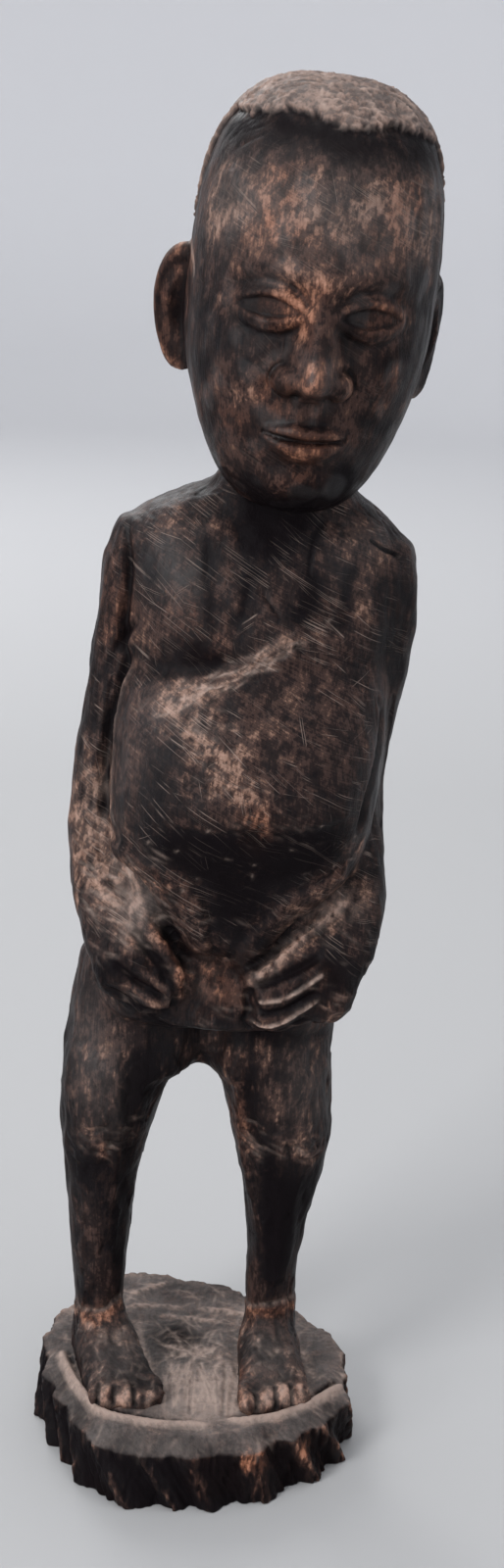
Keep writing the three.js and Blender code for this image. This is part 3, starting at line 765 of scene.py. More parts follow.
def carveLegs(skin):
    # lines down the thighs and shins: ridges, and grooves painted dark as shade
    skin.cut([(-15.1, -12.5, 102.2), (-18.8, -12.2, 96.1), (-19.2, -11.9, 87.2),
        (-18.7, -9.8, 76.6), (-20.4, -6.4, 58.8), (-20.8, -4.4, 38.7)], 1.5, -0.5, 0.15)
    skin.cut([(-13.6, -12, 100), (-16.4, -11, 92), (-16.8, -9.4, 82), (-17.4, -7, 66)], 1.6, 0.5,
        0.2, soot=0.5)
    skin.cut([(9.2, -11.6, 102.7), (5.8, -10.8, 92.3), (8.4, -6.4, 75.9), (9.8, -4.7, 65.2),
        (11.9, -3.7, 52.3)], 1.5, -0.6, 0.15, tan=0.2)
    skin.cut([(12, -13, 100), (9.6, -11, 90), (11.6, -9, 77), (14.6, -9.1, 70.8),
        (15.8, -6.7, 54.2), (16.4, -5.2, 34.9)], 1.5, 0.5, 0.15, soot=0.5)
    # knees: a few deep short chops and the cap between them
    skin.mound((-24, -10, 75.6), (4, 5, 3), 0.3)
    skin.cut([(-27.4, -9, 77.6), (-24.1, -10.5, 78), (-20.8, -11.1, 79.8)], 0.5, 0.6, 0.2, 1.4,
        tan=0.9)
    skin.cut([(-25.4, -9.5, 72.9), (-22.4, -10.1, 72.5), (-19.8, -9.4, 73.2)], 0.5, 0.6, 0.2, 1.4,
        tan=0.9)
    skin.cut([(-27, -8.6, 69), (-23, -9.4, 68.4), (-20, -8.6, 69.6)], 2, 0.5, 0.3)
    skin.mound((22, -8.6, 76), (4.4, 5, 3.4), 0.5, tan=0.2)
    skin.cut([(16.8, -10.2, 77.9), (19.4, -9.6, 73.4), (23, -8, 71.2), (27, -4.8, 72.4)], 0.6, 0.5,
        0.2, 1.3, tan=0.9)
    skin.cut([(24.2, -7.6, 76.4), (25.2, -6.6, 73.8)], 0.5, 0.6, 0.3, tan=0.8)
    skin.cut([(8, -7, 73.6), (10.4, -7.6, 72.6)], 0.8, 0.5, 0.3, tan=0.5)
    # calves
    skin.mound((-24, 9, 58), (8, 6, 14), 0.8)
    skin.mound((21, 9, 58), (8, 6, 14), 0.8)


def carveFeet(skin):
    # a cut ledge goes round each ankle, and the foot below it is lighter
    left = [(-29.4, 2, 28.6), (-28.2, -2.5, 28.4), (-25, -5.2, 28.8), (-22.4, -5.2, 29.2),
        (-19.6, -3.4, 30.8), (-18.2, 0, 31.4)]
    right = [(10, 3, 30), (10.6, -1.6, 29.8), (13, -4.8, 31.4), (16, -5.6, 32.2),
        (19.6, -4.6, 32.6), (22.4, -1, 32), (23, 3, 31.6)]
    for line in (left, right):
        skin.ledge(line, 0.35, 0.5, 4, 0.1)
        skin.cut([(p[0], p[1], p[2] + 0.4) for p in line], 0.5, 0.4, 0.1, 1.2, light=0.3)
        skin.cut([(p[0], p[1] - 0.4, p[2] - 1.6) for p in line], 1.5, 0, 0.1, 1.6, tan=0.9,
            rust=0.3)
    # the gaps between the toes are painted dark as shade
    gaps = [((-18.5, -21.3), (-18.3, -24)), ((-14.2, -19.9), (-13.6, -24.4)),
        ((-21.9, -20.6), (-22.1, -23.2)), ((13.3, -21.6), (13.6, -24)),
        ((17.7, -19.6), (18, -22.9)), ((21.1, -18.2), (21.5, -21.4))]
    for (ax, ay), (bx, by) in gaps:
        skin.cut([(ax, ay + 0.6, 20.6), (ax, ay, 19.6), (bx, by, 16.4)], 0.45, 0.9, 0.1, 1.2,
            soot=1.0)
    toes = [(-20.2, -22.6, 18.6), (-16.2, -22.8, 18.4), (-11.2, -22.4, 18), (11.6, -23.4, 18.8),
        (15.5, -21.6, 18.8), (19.4, -20, 18.9), (22.8, -18.6, 19.2)]
    for at in toes:
        skin.mound(at, (1.6, 2.6, 2.4), 0.1, tan=1.2, light=0.5, rust=0.4)
    for line in ([(-22.6, -7.1, 27), (-22.3, -9.6, 25.9), (-22, -12.1, 24.6)],
                 [(-18.6, -7.7, 26.4), (-18.5, -9.8, 25.4), (-18.4, -11.9, 24.4)],
                 [(-25.6, -6, 27), (-25.8, -8, 25.4)], [(13.4, -7, 26), (13, -10, 24.4)]):
        skin.cut(line, 0.9, 0.3, 0.2, 1.1, tan=1.2, light=0.4)
    skin.cut([(-24, -18, 22.6), (-18, -18.6, 22), (-11, -18, 19.6)], 1.6, 0.35, 0.2, soot=0.3)
    skin.cut([(10.4, -20.4, 20.6), (14.4, -19.6, 21.6), (19.4, -17.2, 22), (24, -14.6, 20.6)], 1.1,
        0.6, 0.2, soot=0.5)


def carveBack(skin):
    # grooves down the back and beside the shoulder blades, painted dark as shade
    skin.cut([(11.5, 9, 214), (8.8, 14, 196), (7, 15, 176), (6, 14, 158), (4.6, 15, 146)], 3, 1.3,
        0.25, 1, soot=0.4)
    skin.cut([(3.6, 18, 132), (2.6, 20, 122), (1.6, 18, 112), (1, 12, 104)], 1.9, 1.3, 0.25, 1.2,
        soot=0.7)
    skin.cut([(-4, 12.6, 204), (-6.6, 13.6, 196), (-3.6, 14.6, 186)], 2.2, -0.9, 0.3)
    skin.cut([(-1.8, 12.6, 203), (-3.4, 13.6, 195), (-0.8, 14.8, 186)], 1.4, 0.6, 0.3, soot=0.3)
    skin.cut([(22, 12.6, 203), (25.4, 13, 194), (22.4, 14, 184)], 2.2, -0.9, 0.3)
    skin.cut([(19.8, 13, 202), (22.4, 13.6, 194), (19.8, 14.6, 185)], 1.4, 0.6, 0.3, soot=0.3)


# paint on the body: where, how far it reaches, and how much
bodyPaint = {
    "tan": (
        ((-25.5, -9, 153), (6.5, 7, 13), 1.9), ((-21, -14, 141), (5, 7, 7), 1.6),
        ((-12, -24, 130), (3, 6, 4), 0.4), ((-15, -20, 134), (4, 6, 4), 0.7),
        ((-12, -23, 142.5), (7, 6, 3.6), 0.95), ((-4, -24, 136), (4, 6, 5), 0.7),
        ((0, -19.5, 119), (5, 5, 5), 0.8), ((-7.5, -22, 180), (5, 7, 5), 0.7),
        ((-3, -27, 176), (4, 6, 4), 0.75), ((-4.5, -28, 172), (4, 6, 5), 0.7),
        ((2, -31, 170), (4, 6, 7), 0.75), ((6, -31, 164), (4, 6, 6), 0.7),
        ((9, -32, 160), (4, 5, 5), 0.85), ((-2, -30, 163), (5, 6, 5), 0.45),
        ((12, -30, 172), (5, 6, 8), 0.35), ((13, -25, 183), (7, 6, 3), 0.3),
        ((22, -22, 182), (6, 7, 3), 0.3), ((14, -23, 134), (6, 6, 3.5), 0.7),
        ((22, -22, 140), (8, 7, 4), 0.9), ((30, -18, 150), (4, 7, 9), 0.8),
        ((22, -16, 131), (9, 6, 4), 1.0), ((30, -13, 139), (5, 6, 6), 0.75),
        ((-23, -5.5, 186), (4, 7, 12), 0.45), ((-23, -4, 203), (2.4, 6, 10), 0.5),
        ((-11, -8, 214), (7, 6, 4), 0.45), ((0, -11, 217), (4, 6, 7), 0.45),
        ((24, -9, 212), (6, 6, 4), 0.4), ((-4, -18.5, 196), (4, 6, 5), 0.35),
        ((29, -12.6, 201), (5, 6, 7), 0.35), ((-25, -10, 97), (4, 6, 9), 0.45),
        ((-25, -8, 86), (4, 6, 6), 0.4), ((23, -7.5, 99), (3, 6, 5), 0.6),
        ((21, -10, 86), (5, 6, 7), 0.6), ((-17, -13.4, 20), (7, 12, 5), 0.45),
        ((18, -13, 20), (7, 12, 5), 0.4), ((8, -7.5, 80), (3, 6, 7), 0.35),
        ((-27.4, -5, 50), (2.4, 6, 15), 0.4), ((-21.4, -7, 62), (1.6, 5, 7), 0.4),
        ((12, -5, 52), (1.8, 5, 13), 0.4),
    ),
    "soot": (
        # painted shadow: the four spots under the belly, the two on the neck under the jaw, and the
        # two under the hands
        ((-5, -30, 151), (8, 8, 4.5), 1.2), ((6, -30, 149), (11, 8, 6), 1.3),
        ((19, -28, 151), (11, 8, 6), 1.3), ((6, -26, 138), (7, 8, 10), 1.1),
        ((10, -15, 219), (9, 8, 8), 1.0), ((-21, -21, 121), (4, 6, 5), 0.8),
        ((-13, -23, 124), (4, 5, 4), 0.5), ((26, -22, 121), (7, 7, 8), 0.55),
        ((1, -21, 112), (8, 6, 3), 0.7), ((4, -16, 104), (12, 8, 3.5), 0.7),
        ((10, -13, 216), (8, 7, 7), 0.8), ((-13, -11, 205), (5, 6, 5), 0.55),
        ((-4, -20, 190.5), (5, 5, 3.4), 0.8), ((18, -17, 201), (4, 6, 6), 0.6),
        ((33, -9, 192), (3, 6, 10), 0.55), ((37, -4, 190), (3, 8, 18), 0.5),
        ((-25, 0, 180), (2.5, 6, 14), 0.5), ((-14, -10, 92), (4, 8, 12), 0.7),
        ((-19, -5, 55), (3, 6, 22), 0.5), ((-24, -8, 68), (6, 6, 5), 0.5),
        ((17.5, -6, 56), (4, 7, 18), 0.85), ((24, -5, 64), (5, 7, 7), 0.6),
        ((-17, -17, 22.5), (6, 8, 3), 0.5), ((17, -12, 24), (6, 8, 4), 0.75),
        ((38, 2, 130), (6, 12, 14), 0.4),
    ),
    "rust": (
        ((-11, -24, 143), (8, 6, 5), 0.5), ((1, -19.5, 119), (7, 6, 6), 0.8),
        ((-5, -21, 196), (6, 6, 8), 0.5), ((9, -32, 158), (4, 6, 4), 0.7),
        ((-23, -10, 75), (4, 6, 5), 0.7), ((7, -8, 82), (4, 6, 9), 0.6),
        ((29, -19, 148), (5, 8, 9), 0.5), ((-22, -5.6, 192), (4, 6, 16), 0.5),
        ((25, -22, 124), (7, 7, 7), 0.5), ((5, -8, 98), (5, 8, 5), 0.5),
        ((-23, -5, 29), (7, 6, 3), 0.5), ((16, -5, 30), (7, 6, 3), 0.5),
        ((10, -13, 21), (2, 9, 3), 0.9),
    ),
    "dust": (
        ((-15, -20, 134), (4, 6, 5), 0.5), ((-27, -9, 98), (5, 6, 12), 0.15),
        ((-17, -14, 24), (7, 12, 5), 0.4), ((17, -14, 24), (7, 12, 5), 0.35),
        ((-22, -10, 90), (5, 6, 12), 0.15), ((20, -9, 92), (6, 6, 12), 0.15),
    ),
    "light": (
        ((-25.5, -9, 153), (4, 7, 10), 0.2), ((-15.5, -19.5, 134.5), (4, 6, 5), 0.35),
        ((-20, -15, 139), (3, 6, 5), 0.25), ((26, -15, 135), (7, 5, 3), 0.25),
        ((-7.5, -22, 180), (4, 6, 3), 0.15), ((-3, -27, 176), (3, 6, 3), 0.15),
        ((0, -20, 118.5), (3, 5, 3), 0.1),
    ),
    "polish": (
        ((-13, -12, 207), (5, 7, 6), 0.9), ((-7, -14, 203), (5, 6, 5), 0.5),
        ((-12, -21, 178), (6, 7, 5), 0.8), ((-15, -20, 168), (4, 7, 9), 0.7),
        ((33, -16, 166), (4, 8, 10), 0.6), ((24, -12, 205), (6, 6, 6), 0.4),
        ((-26, -9, 96), (5, 6, 12), 0.6), ((24, -8, 90), (5, 6, 14), 0.6),
        ((-18, -8, 214), (8, 8, 4), 0.7), ((28, -6, 211), (8, 8, 4), 0.7),
        ((36, -8, 175), (3, 8, 24), 0.4), ((0, -21, 108), (8, 6, 3), 0.4),
    ),
}


def paintBody(skin):
    for name, spots in bodyPaint.items():
        for at, size, amount in spots:
            skin.mound(at, size, **{name: amount})


# Leaves only what hangs together with the lowest vertex.
def keepLowest(bm):
    lowest = min(bm.verts, key=lambda v: v.co.z)
    keep, ahead = {lowest}, [lowest]
    while ahead:
        v = ahead.pop()
        for w in (e.other_vert(v) for e in v.link_edges):
            if w not in keep:
                keep.add(w)
                ahead.append(w)
    bmesh.ops.delete(bm, geom=[v for v in bm.verts if v not in keep], context="VERTS")


# The CAD shape without its base and its head, evened out into a fine mesh.
def bodyBlank():
    bm = bmesh.new()
    bm.from_mesh(frame["nodes"]["carved_figure"].data)
    bmesh.ops.remove_doubles(bm, verts=bm.verts, dist=2e-6)
    # the feet are cut off just above the base, and go on down into it
    cut = bmesh.ops.bisect_plane(
        bm,
        geom=bm.verts[:] + bm.edges[:] + bm.faces[:],
        plane_co=(0, 0, body["footCut"] * mm),
        plane_no=(0, 0, 1),
        clear_inner=True,
    )
    rim = [e for e in cut["geom_cut"] if isinstance(e, bmesh.types.BMEdge)]
    down = bmesh.ops.extrude_edge_only(bm, edges=rim)["geom"]
    ends = [v for v in down if isinstance(v, bmesh.types.BMVert)]
    bmesh.ops.translate(bm, verts=ends, vec=(0, 0, -body["footReach"] * mm))
    bmesh.ops.holes_fill(bm, edges=[e for e in bm.edges if e.is_boundary], sides=0)
    bmesh.ops.recalc_face_normals(bm, faces=bm.faces)
    obj = toObject("figureBody", bm)
    cutter = skullObject("cutter", 40, 0.5)
    slot = obj.modifiers.new("cut", "BOOLEAN")
    slot.operation, slot.solver, slot.object = "DIFFERENCE", "EXACT", cutter
    applyModifiers(obj)
    # what is left of the head goes, and the neck reaches up into the skull
    bm = bmesh.new()
    bm.from_mesh(obj.data)
    keepLowest(bm)
    cup = BVHTree.FromPolygons(
        [v.co for v in cutter.data.vertices], [p.vertices for p in cutter.data.polygons]
    )
    up = headPose.to_3x3() @ Vector((0, 0, body["neckReach"] * mm))
    for v in bm.verts:
        if cup.find_nearest(v.co)[3] < 0.03 * mm:
            v.co += up
    bm.to_mesh(obj.data)
    bm.free()
    drop(cutter)
    remesh(obj, body["voxel"])
    relax(obj.data, body["evening"], bodySoftness(placesOf(obj.data)))
    finer = obj.modifiers.new("finer", "SUBSURF")
    finer.levels = finer.render_levels = 2
    applyModifiers(obj)
    return obj


def markBody(skin):
    x, y, z = skin.places.T
    legs = 1 - ramp(z, 92, 102)
    hands = handArea(y, z)
    limbs = np.clip(1 - ramp(z, 96, 104) + ramp(np.abs(x - 6), 24, 27), 0, 1)
    trunk = ramp(z, 122, 128) * (1 - ramp(np.abs(x - 6), 24, 27))
    knees = bell(z, 75, 4) * ramp(-y, 4, 8)
    ankles = bell(z, 28, 2.4)
    feet = (1 - ramp(z, 24, 27)) * ramp(skin.normals[:, 2], 0, 0.4)
    thighs = bell(z, 90, 16) * ramp(-y, 2, 6)
    chestStep = bell(z, 186 + 0.5 * (x - 4), 2.2) * ramp(-y, 14, 18) * bell(x, 4, 11)
    belly = bell(z, 170 - 0.9 * (x - 1), 7) * bell(x, 1, 11) * ramp(-y, 18, 22)
    under = bell(z, 150, 6) * ramp(-y, 18, 22)
    wrist = bell(z, 139, 9) * bell(x, -20, 8) * ramp(-y, 9, 13)
    skin.paint["soot"] += 0.25 * legs * ramp(z, 28, 34)
    # scratches over the front, fewer behind
    facing = ramp(np.abs(skin.normals[:, 1]), 0.35, 0.7)
    behind = ramp(skin.normals[:, 1], 0, 0.5)
    skin.paint["scored"] += facing * ramp(z, 118, 132) * (1 - 0.55 * behind)
    skin.lift += 0.05 * unevenness(skin.places, (2.6, 2.6, 5), 11)
    skin.lift += 0.14 * unevenness(skin.places, (7, 7, 12), 12)
    # tool marks: up and down the legs and arms, slanting over the chest and belly
    skin.nicks(700, limbs, "upright", 21, 5, 0.7, 0.22, soot=0.2)
    skin.nicks(500, limbs, "upright", 22, 4, 0.35, 0.12, tan=0.5)
    skin.nicks(420, trunk * ramp(-y, 0, 8), "slanting", 23, 8, 0.3, 0.1, tan=0.5)
    skin.nicks(300, trunk, "any", 24, 3, 0.5, 0.15)
    skin.nicks(80, knees, "slanting", 25, 3, 0.4, 0.38, tan=1.1, light=0.2)
    skin.nicks(90, ankles, "any", 26, 2.4, 0.4, 0.3, tan=0.6)
    skin.nicks(130, hands, "slanting", 27, 3, 0.35, 0.24, tan=0.9, light=0.2)
    skin.nicks(220, feet, "any", 28, 2.4, 0.32, 0.26, tan=0.9, light=0.25)
    skin.nicks(420, thighs, "upright", 29, 4.5, 0.3, 0.14, tan=1.1)
    skin.nicks(90, chestStep, "rising", 57, 2.8, 0.28, 0.3, tan=0.8, light=0.5)
    skin.nicks(150, belly, "slanting", 58, 2.2, 0.35, 0.22, tan=0.8, light=0.15)
    skin.nicks(26, under, "any", 59, 1.1, 0.25, 0.12, light=0.6)
    skin.nicks(120, wrist, "slanting", 60, 3.4, 0.35, 0.26, tan=0.6, light=0.5, soot=0.4)


def makeBody():
    obj = bodyBlank()
    print("body: carving")
    skin = Skin(obj)
    x, y, z = skin.places.T
    legs = 1 - ramp(z, 92, 102)
    arms = ramp(np.abs(x - 6), 24, 27) * ramp(z, 130, 140)
    skin.facets(body["facetSize"], 2.4, 0.2 + 0.5 * legs + 0.25 * arms, body["facetDepth"], 5)
    # smaller cuts on the hands, the feet and the knees
    small = np.clip(handArea(y, z) + (1 - ramp(z, 27, 31)) + 0.7 * bell(z, 75, 6), 0, 1)
    skin.facets(2.8, 1.3, 0.55 * small, 0.28, 6)
    for carve in (carveTorso, carveHands, carveLegs, carveFeet, carveBack, paintBody, markBody):
        carve(skin)
    skin.settle()
    fewer = obj.modifiers.new("fewer", "DECIMATE")
    fewer.ratio = body["triangles"] / (2 * len(obj.data.polygons))
    applyModifiers(obj)
    return obj


base = {
    "height": 16,
    "radius": 36,
    # radii of the outline, one for each 30 degrees from +X, anticlockwise seen from above
    "outline": [34.6, 31, 27, 31.5, 38.6, 37.8, 36.6, 35.6, 39.4, 36.6, 36, 37.2],
    "ridges": 22,
    "ridgeDepth": 2.4,
    "slant": 0.19,
    "rimDrop": 2.2,
    "steps": 640,
}


def outlineRadius(angle):
    radii = np.array(base["outline"], float)
    at = (angle / (2 * math.pi) * len(radii)) % len(radii)
    i = np.floor(at).astype(int) % len(radii)
    t = at - np.floor(at)
    t = t * t * (3 - 2 * t)
    return radii[i] * (1 - t) + radii[(i + 1) % len(radii)] * t


# A spun disc, pushed out to the log's outline and its bark. Also gives what the carving needs:
# the share of the radius, the height of the bark's ridges, and places that follow their lean.
def baseBlank():
    tall, wide = base["height"], base["radius"]
    line = [(r, tall) for r in np.linspace(0, 0.962, 66)]
    line += [(0.972, tall), (0.982, tall - 0.1), (0.992, tall - 0.35)]
    line += [(1, z) for z in np.linspace(tall - 0.8, 0.4, 42)]
    line += [(r, 0) for r in (0.99, 0.96, 0.8, 0.5, 0)]
    obj = spun("logBase", [(r * wide, z) for r, z in line], base["steps"])
    x, y, z = placesOf(obj.data).T
    angle = np.arctan2(y, x)
    share = np.hypot(x, y) / wide
    # the top slopes down round the front
    slope = ramp(-np.sin(angle), -0.35, 0.5) * ramp(share, 0.86, 0.99)
    sunk = base["rimDrop"] * slope * ramp(z, tall * 0.3, tall)
    # crisp ridges of bark, leaning to the right on their way down, with scooped hollows between
    lean = angle - base["slant"] * (1 - z / tall)
    wander = 0.6 * np.sin(3 * lean + 1) + 0.35 * np.sin(7 * lean)
    wander += 0.5 * np.sin(5 * lean + 2) * (1 - z / tall)
    wave = 1 - np.abs(np.cos(base["ridges"] * lean / 2 + wander)) ** 1.2
    around = np.stack([wide * np.cos(lean), wide * np.sin(lean), z * 0.25], 1)
    chips = unevenness(around, (3.4, 3.4, 9), 41) + 0.7 * unevenness(around, (1.7, 1.7, 5), 42)
    side = ramp(share, 0.9, 1)
    rising = z / tall
    flutes = base["ridgeDepth"] * (wave - 0.45) * (1.05 - 0.65 * rising)
    bark = side * (flutes + (0.4 - 0.25 * rising) * chips)
    bark += side * 0.5 * rising * unevenness(around, (7, 7, 30), 50)
    radius = outlineRadius(angle) * share + bark
    shaped = np.stack([radius * np.cos(angle), radius * np.sin(angle), z - sunk], 1)
    setPlaces(obj.data, shaped)
    return obj, share, wave, around


def makeBase():
    obj, share, wave, around = baseBlank()
    print("base: carving")
    skin = Skin(obj)
    paint = skin.paint
    x, y, z = skin.places.T
    top = ramp(skin.normals[:, 2], 0.5, 0.8)
    bare = (1 - top) * ramp(share, 0.9, 1)

    # a copy of some marks, scaled out from the middle and shifted
    def beside(marks, outX=1.0, outY=1.0, shift=(0, 0)):
        return [(p[0] * outX + shift[0], p[1] * outY + shift[1], p[2]) for p in marks]

    # the raised line in front of the feet: a painted highlight on its crest, a fainter light line
    # just outside it, and a dark red line behind it painted as shadow
    crest = (
        [(-32.4, -1.4, 16), (-30.3, -7.4, 16), (-26, -16.4, 16), (-21.9, -23.8, 16),
         (-13.9, -26.9, 16), (-6.6, -28.1, 16), (3.1, -28.3, 16)],
        [(6.9, -26.1, 16), (12.7, -25.4, 16), (19, -23.4, 16), (26.4, -17.6, 16),
         (34.2, -9.2, 15.6)],
    )
    for line in crest:
        skin.cut(line, 0.7, -1.0, 0.06, 1.2)
        skin.paintAlong(line, 0.7, 0.06, light=1.9, soot=-0.8, tan=0.3)
        skin.paintAlong(beside(line, 1.045, 1.05), 0.5, 0.06, light=0.5)
        skin.cut(beside(line, 0.95, 0.94), 0.5, 0.6, 0.06, 1.3, rust=0.9, soot=0.8, dust=-0.8)
    # a raised strip between the feet, with painted shade in its grooves
    strip = (
        ([(-0.9, -10.8, 16), (5.8, -10.4, 16)], 0.5), ([(-0.6, -19.4, 16), (5.4, -19.8, 16)], 0.45),
        ([(-1.4, -9, 16), (-1.2, -24, 16)], 0.4), ([(6.4, -6, 16), (6.2, -24.4, 16)], 0.4),
    )
    for line, depth in strip:
        skin.cut(line, 0.45, depth, 0.12, 1.1, soot=0.3)
        skin.paintAlong(beside(line, shift=(0.6, -0.7)), 0.5, 0.12, light=0.35)
    skin.mound((2.4, -15, 16), (3, 4.6, 3), 0.5)
    skin.mound((2.4, -22.4, 16), (3, 2, 3), 0.4)
    # worn grooves beside the feet
    for line in (
        [(-16.1, 13.4, 16), (-13.6, 2.3, 16), (-10.6, -8.6, 16), (-8.4, -19.5, 16)],
        [(10, -0.7, 16), (8.3, -13.2, 16), (7.4, -24.5, 16)],
        [(24.2, 3.4, 16), (25.8, -4.4, 16), (26.8, -9.4, 16)],
        [(-29.4, -5.4, 16), (-27, -12.6, 16), (-23.6, -21, 16)],
        [(-30.6, -9.4, 16), (-28.6, -15, 16), (-25, -20.4, 16)],
    ):
        skin.cut(line, 0.6, 0.3, 0.12, 1.3, light=0.8)
    # low ridges behind and between the feet
    for line in (
        [(-18.5, 23.2, 16), (-13.8, 26.2, 16), (-8, 30.1, 16)],
        [(-18.6, 17.5, 16), (-13.4, 19.1, 16), (-3.8, 18, 16)],
        [(-2.4, 18.1, 16), (5.7, 17.7, 16), (16, 15, 16)],
        [(-12, 15, 16), (-3.6, 13.8, 16), (6, 13.2, 16)],
        [(-7.6, 2.6, 16), (-4.4, -0.4, 16), (-1.8, -2.2, 16)],
    ):
        skin.cut(line, 0.8, -0.35, 0.2, 1.2, light=0.7, tan=0.4)
    uneven = 0.16 * unevenness(skin.places, 9, 43) + 0.05 * unevenness(skin.places, 2.5, 44)
    skin.lift += top * uneven
    # dust lies on the top, thicker in the middle, with a few dark stains
    middle = ramp(-y, 2, 14) * bell(x, 1, 7.5) * (1 - ramp(share, 0.72, 0.8))
    paint["dust"] += top * (0.7 + 0.12 * unevenness(skin.places, 10, 54) + 0.4 * middle)
    paint["tan"] += top * (0.2 + 0.2 * unevenness(skin.places, (6, 6, 20), 55))
    paint["light"] += top * 0.5 * middle
    for at, size, amount in (
        ((-6.7, 3.5, 16), (7, 8, 3), 1.0), ((-2, 8, 16), (7, 6, 3), 0.6),
        ((-32, -4, 15), (4, 12, 4), 0.45), ((2, 27, 16), (18, 6, 3), 0.5),
        ((-26, -24, 15), (6, 5, 4), 0.4), ((31, -2, 15), (5, 12, 4), 0.3),
    ):
        skin.mound(at, size, soot=amount, dust=-0.45 * amount)
    # the bevel outside the raised line is darker
    outside = top * ramp(share, 0.84, 0.9) * ramp(-y, 6, 14)
    paint["soot"] += 0.55 * outside * (1 + 0.4 * unevenness(skin.places, (5, 5, 20), 61))
    paint["dust"] -= 0.22 * outside
    # bark is black in its hollows, brown on its ridges and its cut rim, and rusty where it is fresh
    fresh = ramp(unevenness(around, (5, 5, 12), 45), 1.5, 2) * bare
    paint["soot"] += bare * (0.55 + 0.5 * (1 - ramp(wave, 0.1, 0.6)))
    paint["tan"] += bare * 0.6 * ramp(wave, 0.7, 1) * skin.fibrous
    paint["tan"] += bare * 0.4 * ramp(z, 10, 14) * skin.patchy + 0.35 * fresh
    paint["rust"] += fresh + 0.3 * bare
    for at in ((11.5, -34, 11.5), (15, -33.5, 11), (25, -26.5, 10.5), (-24.6, -26, 11.5)):
        skin.mound(at, (1.6, 4, 2.6), tan=0.6, rust=1.2, soot=-0.9)
    worn = top * bell(x, 0, 9) * ramp(-y, 4, 10) * (1 - ramp(-y, 20, 24))
    rimmed = top * ramp(share, 0.84, 0.95)
    skin.nicks(160, worn, "lengthways", 56, 5, 0.3, 0.08, light=0.9)
    skin.nicks(420, rimmed, "outwards", 46, 3.0, 0.32, 0.12, light=0.12)
    skin.nicks(520, top, "any", 47, 4, 0.35, 0.1, light=0.5)
    skin.nicks(700, bare, "down", 48, 4.5, 0.4, 0.28, soot=0.4)
    skin.nicks(260, bare * ramp(wave, 0.6, 0.9), "down", 49, 4.5, 0.3, -0.2, tan=0.9)
    skin.settle()
    # nothing is lower than the flat underside
    places = placesOf(obj.data)
    places[:, 2] = np.where(places[:, 2] < 0.4, np.maximum(places[:, 2], 0), places[:, 2])
    setPlaces(obj.data, places)
    return obj


finish = {
    # the dark stain, and the wood that shows where it has worn through; painted shade also falls on
    # the darker ones
    "black": (0.006, 0.0046, 0.0054),
    "dark": (0.015, 0.0095, 0.009),
    "brown": (0.044, 0.0255, 0.0215),
    "warm": (0.1, 0.057, 0.042),
    "tan": (0.205, 0.12, 0.089),
    "pale": (0.33, 0.208, 0.16),
    "grey": (0.16, 0.14, 0.132),
    "light": (0.36, 0.275, 0.235),
    "rust": (1.28, 0.9, 0.7),
    # where each of them comes in as the tone rises
    "stops": (
        (0.36, "black"), (0.45, "dark"), (0.5, "dark"), (0.55, "brown"), (0.61, "brown"),
        (0.67, "warm"), (0.76, "tan"), (0.88, "pale"),
    ),
    # what lifts the tone, and by how much; the dark paint and hollow lower it, partly as painted
    # shade
    "tone": {
        "flakes": 0.28, "slow": 0.12, "streaks": 0.26, "fibres": 0.28, "specks": 0.3,
        "chips": 0.05, "combed": 0.34, "tan": 0.2, "light": 0.16, "dust": 0.1, "edge": 0.08,
        "soot": -0.24, "hollow": -0.1,
    },
    "darker": 0.177,
    # coats over the tone: their colour, and how much they cover at most; the light coat is pale
    # wear, and in places a painted highlight
    "coats": (("dust", "grey", 0.85), ("light", "light", 0.9)),
    # noise: its size in mm along its own axes, detail, roughness, turn, shift, and kept range
    "grain": {
        "slow": ((24, 24, 34), 2, 0.5, 0, 0, (0.3, 0.7)),
        "flakes": ((6, 6, 8), 10, 0.76, 0, 0.6, (0.27, 0.73)),
        "streaks": ((2.6, 2.6, 26), 5, 0.6, 0, 0.1, None),
        "fibres": ((0.45, 0.45, 8), 3, 0.6, 0, 0.2, None),
        "specks": ((1.1, 1.1, 1.5), 4, 0.7, 0, 0.3, None),
        "chips": ((1.5, 1.5, 2.6), 7, 0.66, 24, 0.5, (0.41, 0.59)),
        "combed": ((7, 40, 0.26), 3, 0.6, 27, 0.7, None),
    },
    # straight scratches: their slope in degrees, thickness in mm, and how rare lines and spots are
    "scratches": (
        (24, 0.19, 0.67, 0.55), (31, 0.15, 0.68, 0.53), (43, 0.17, 0.7, 0.57),
        (12, 0.17, 0.71, 0.57), (-34, 0.19, 0.73, 0.62), (78, 0.2, 0.73, 0.62),
    ),
    "scratched": 0.5,
    "roughness": (0.33, 0.58),
    "gloss": 0.1,
    "sheen": 0.26,
    "relief": 0.2,
    "edgeWear": 0.25,  # how sharp an edge is when it is worn in full
    "bumps": (("fibres", 0.5), ("specks", 0.5), ("streaks", 0.6), ("flakes", 0.4)),
}


# Adds one node: inputs are values or the sockets that feed them.
def addNode(tree, kind, inputs=(), **settings):
    node = tree.nodes.new(kind)
    for name, value in settings.items():
        setattr(node, name, value)
    for name, value in dict(inputs).items():
        if isinstance(value, bpy.types.NodeSocket):
            tree.links.new(value, node.inputs[name])
        else:
            node.inputs[name].default_value = value
    return node


def newMaterial(name):
    material = bpy.data.materials.new(name)
    material.use_nodes = True
    tree = material.node_tree
    return material, tree, tree.nodes["Principled BSDF"]


# A blend of two colours; each input is a socket or a plain value.
def mixed(tree, kind, share, a, b):
    colours = [c if isinstance(c, bpy.types.NodeSocket) else (*c, 1) for c in (a, b)]
    inputs = {0: share, 6: colours[0], 7: colours[1]}
    return addNode(tree, "ShaderNodeMix", inputs, data_type="RGBA", blend_type=kind).outputs[2]


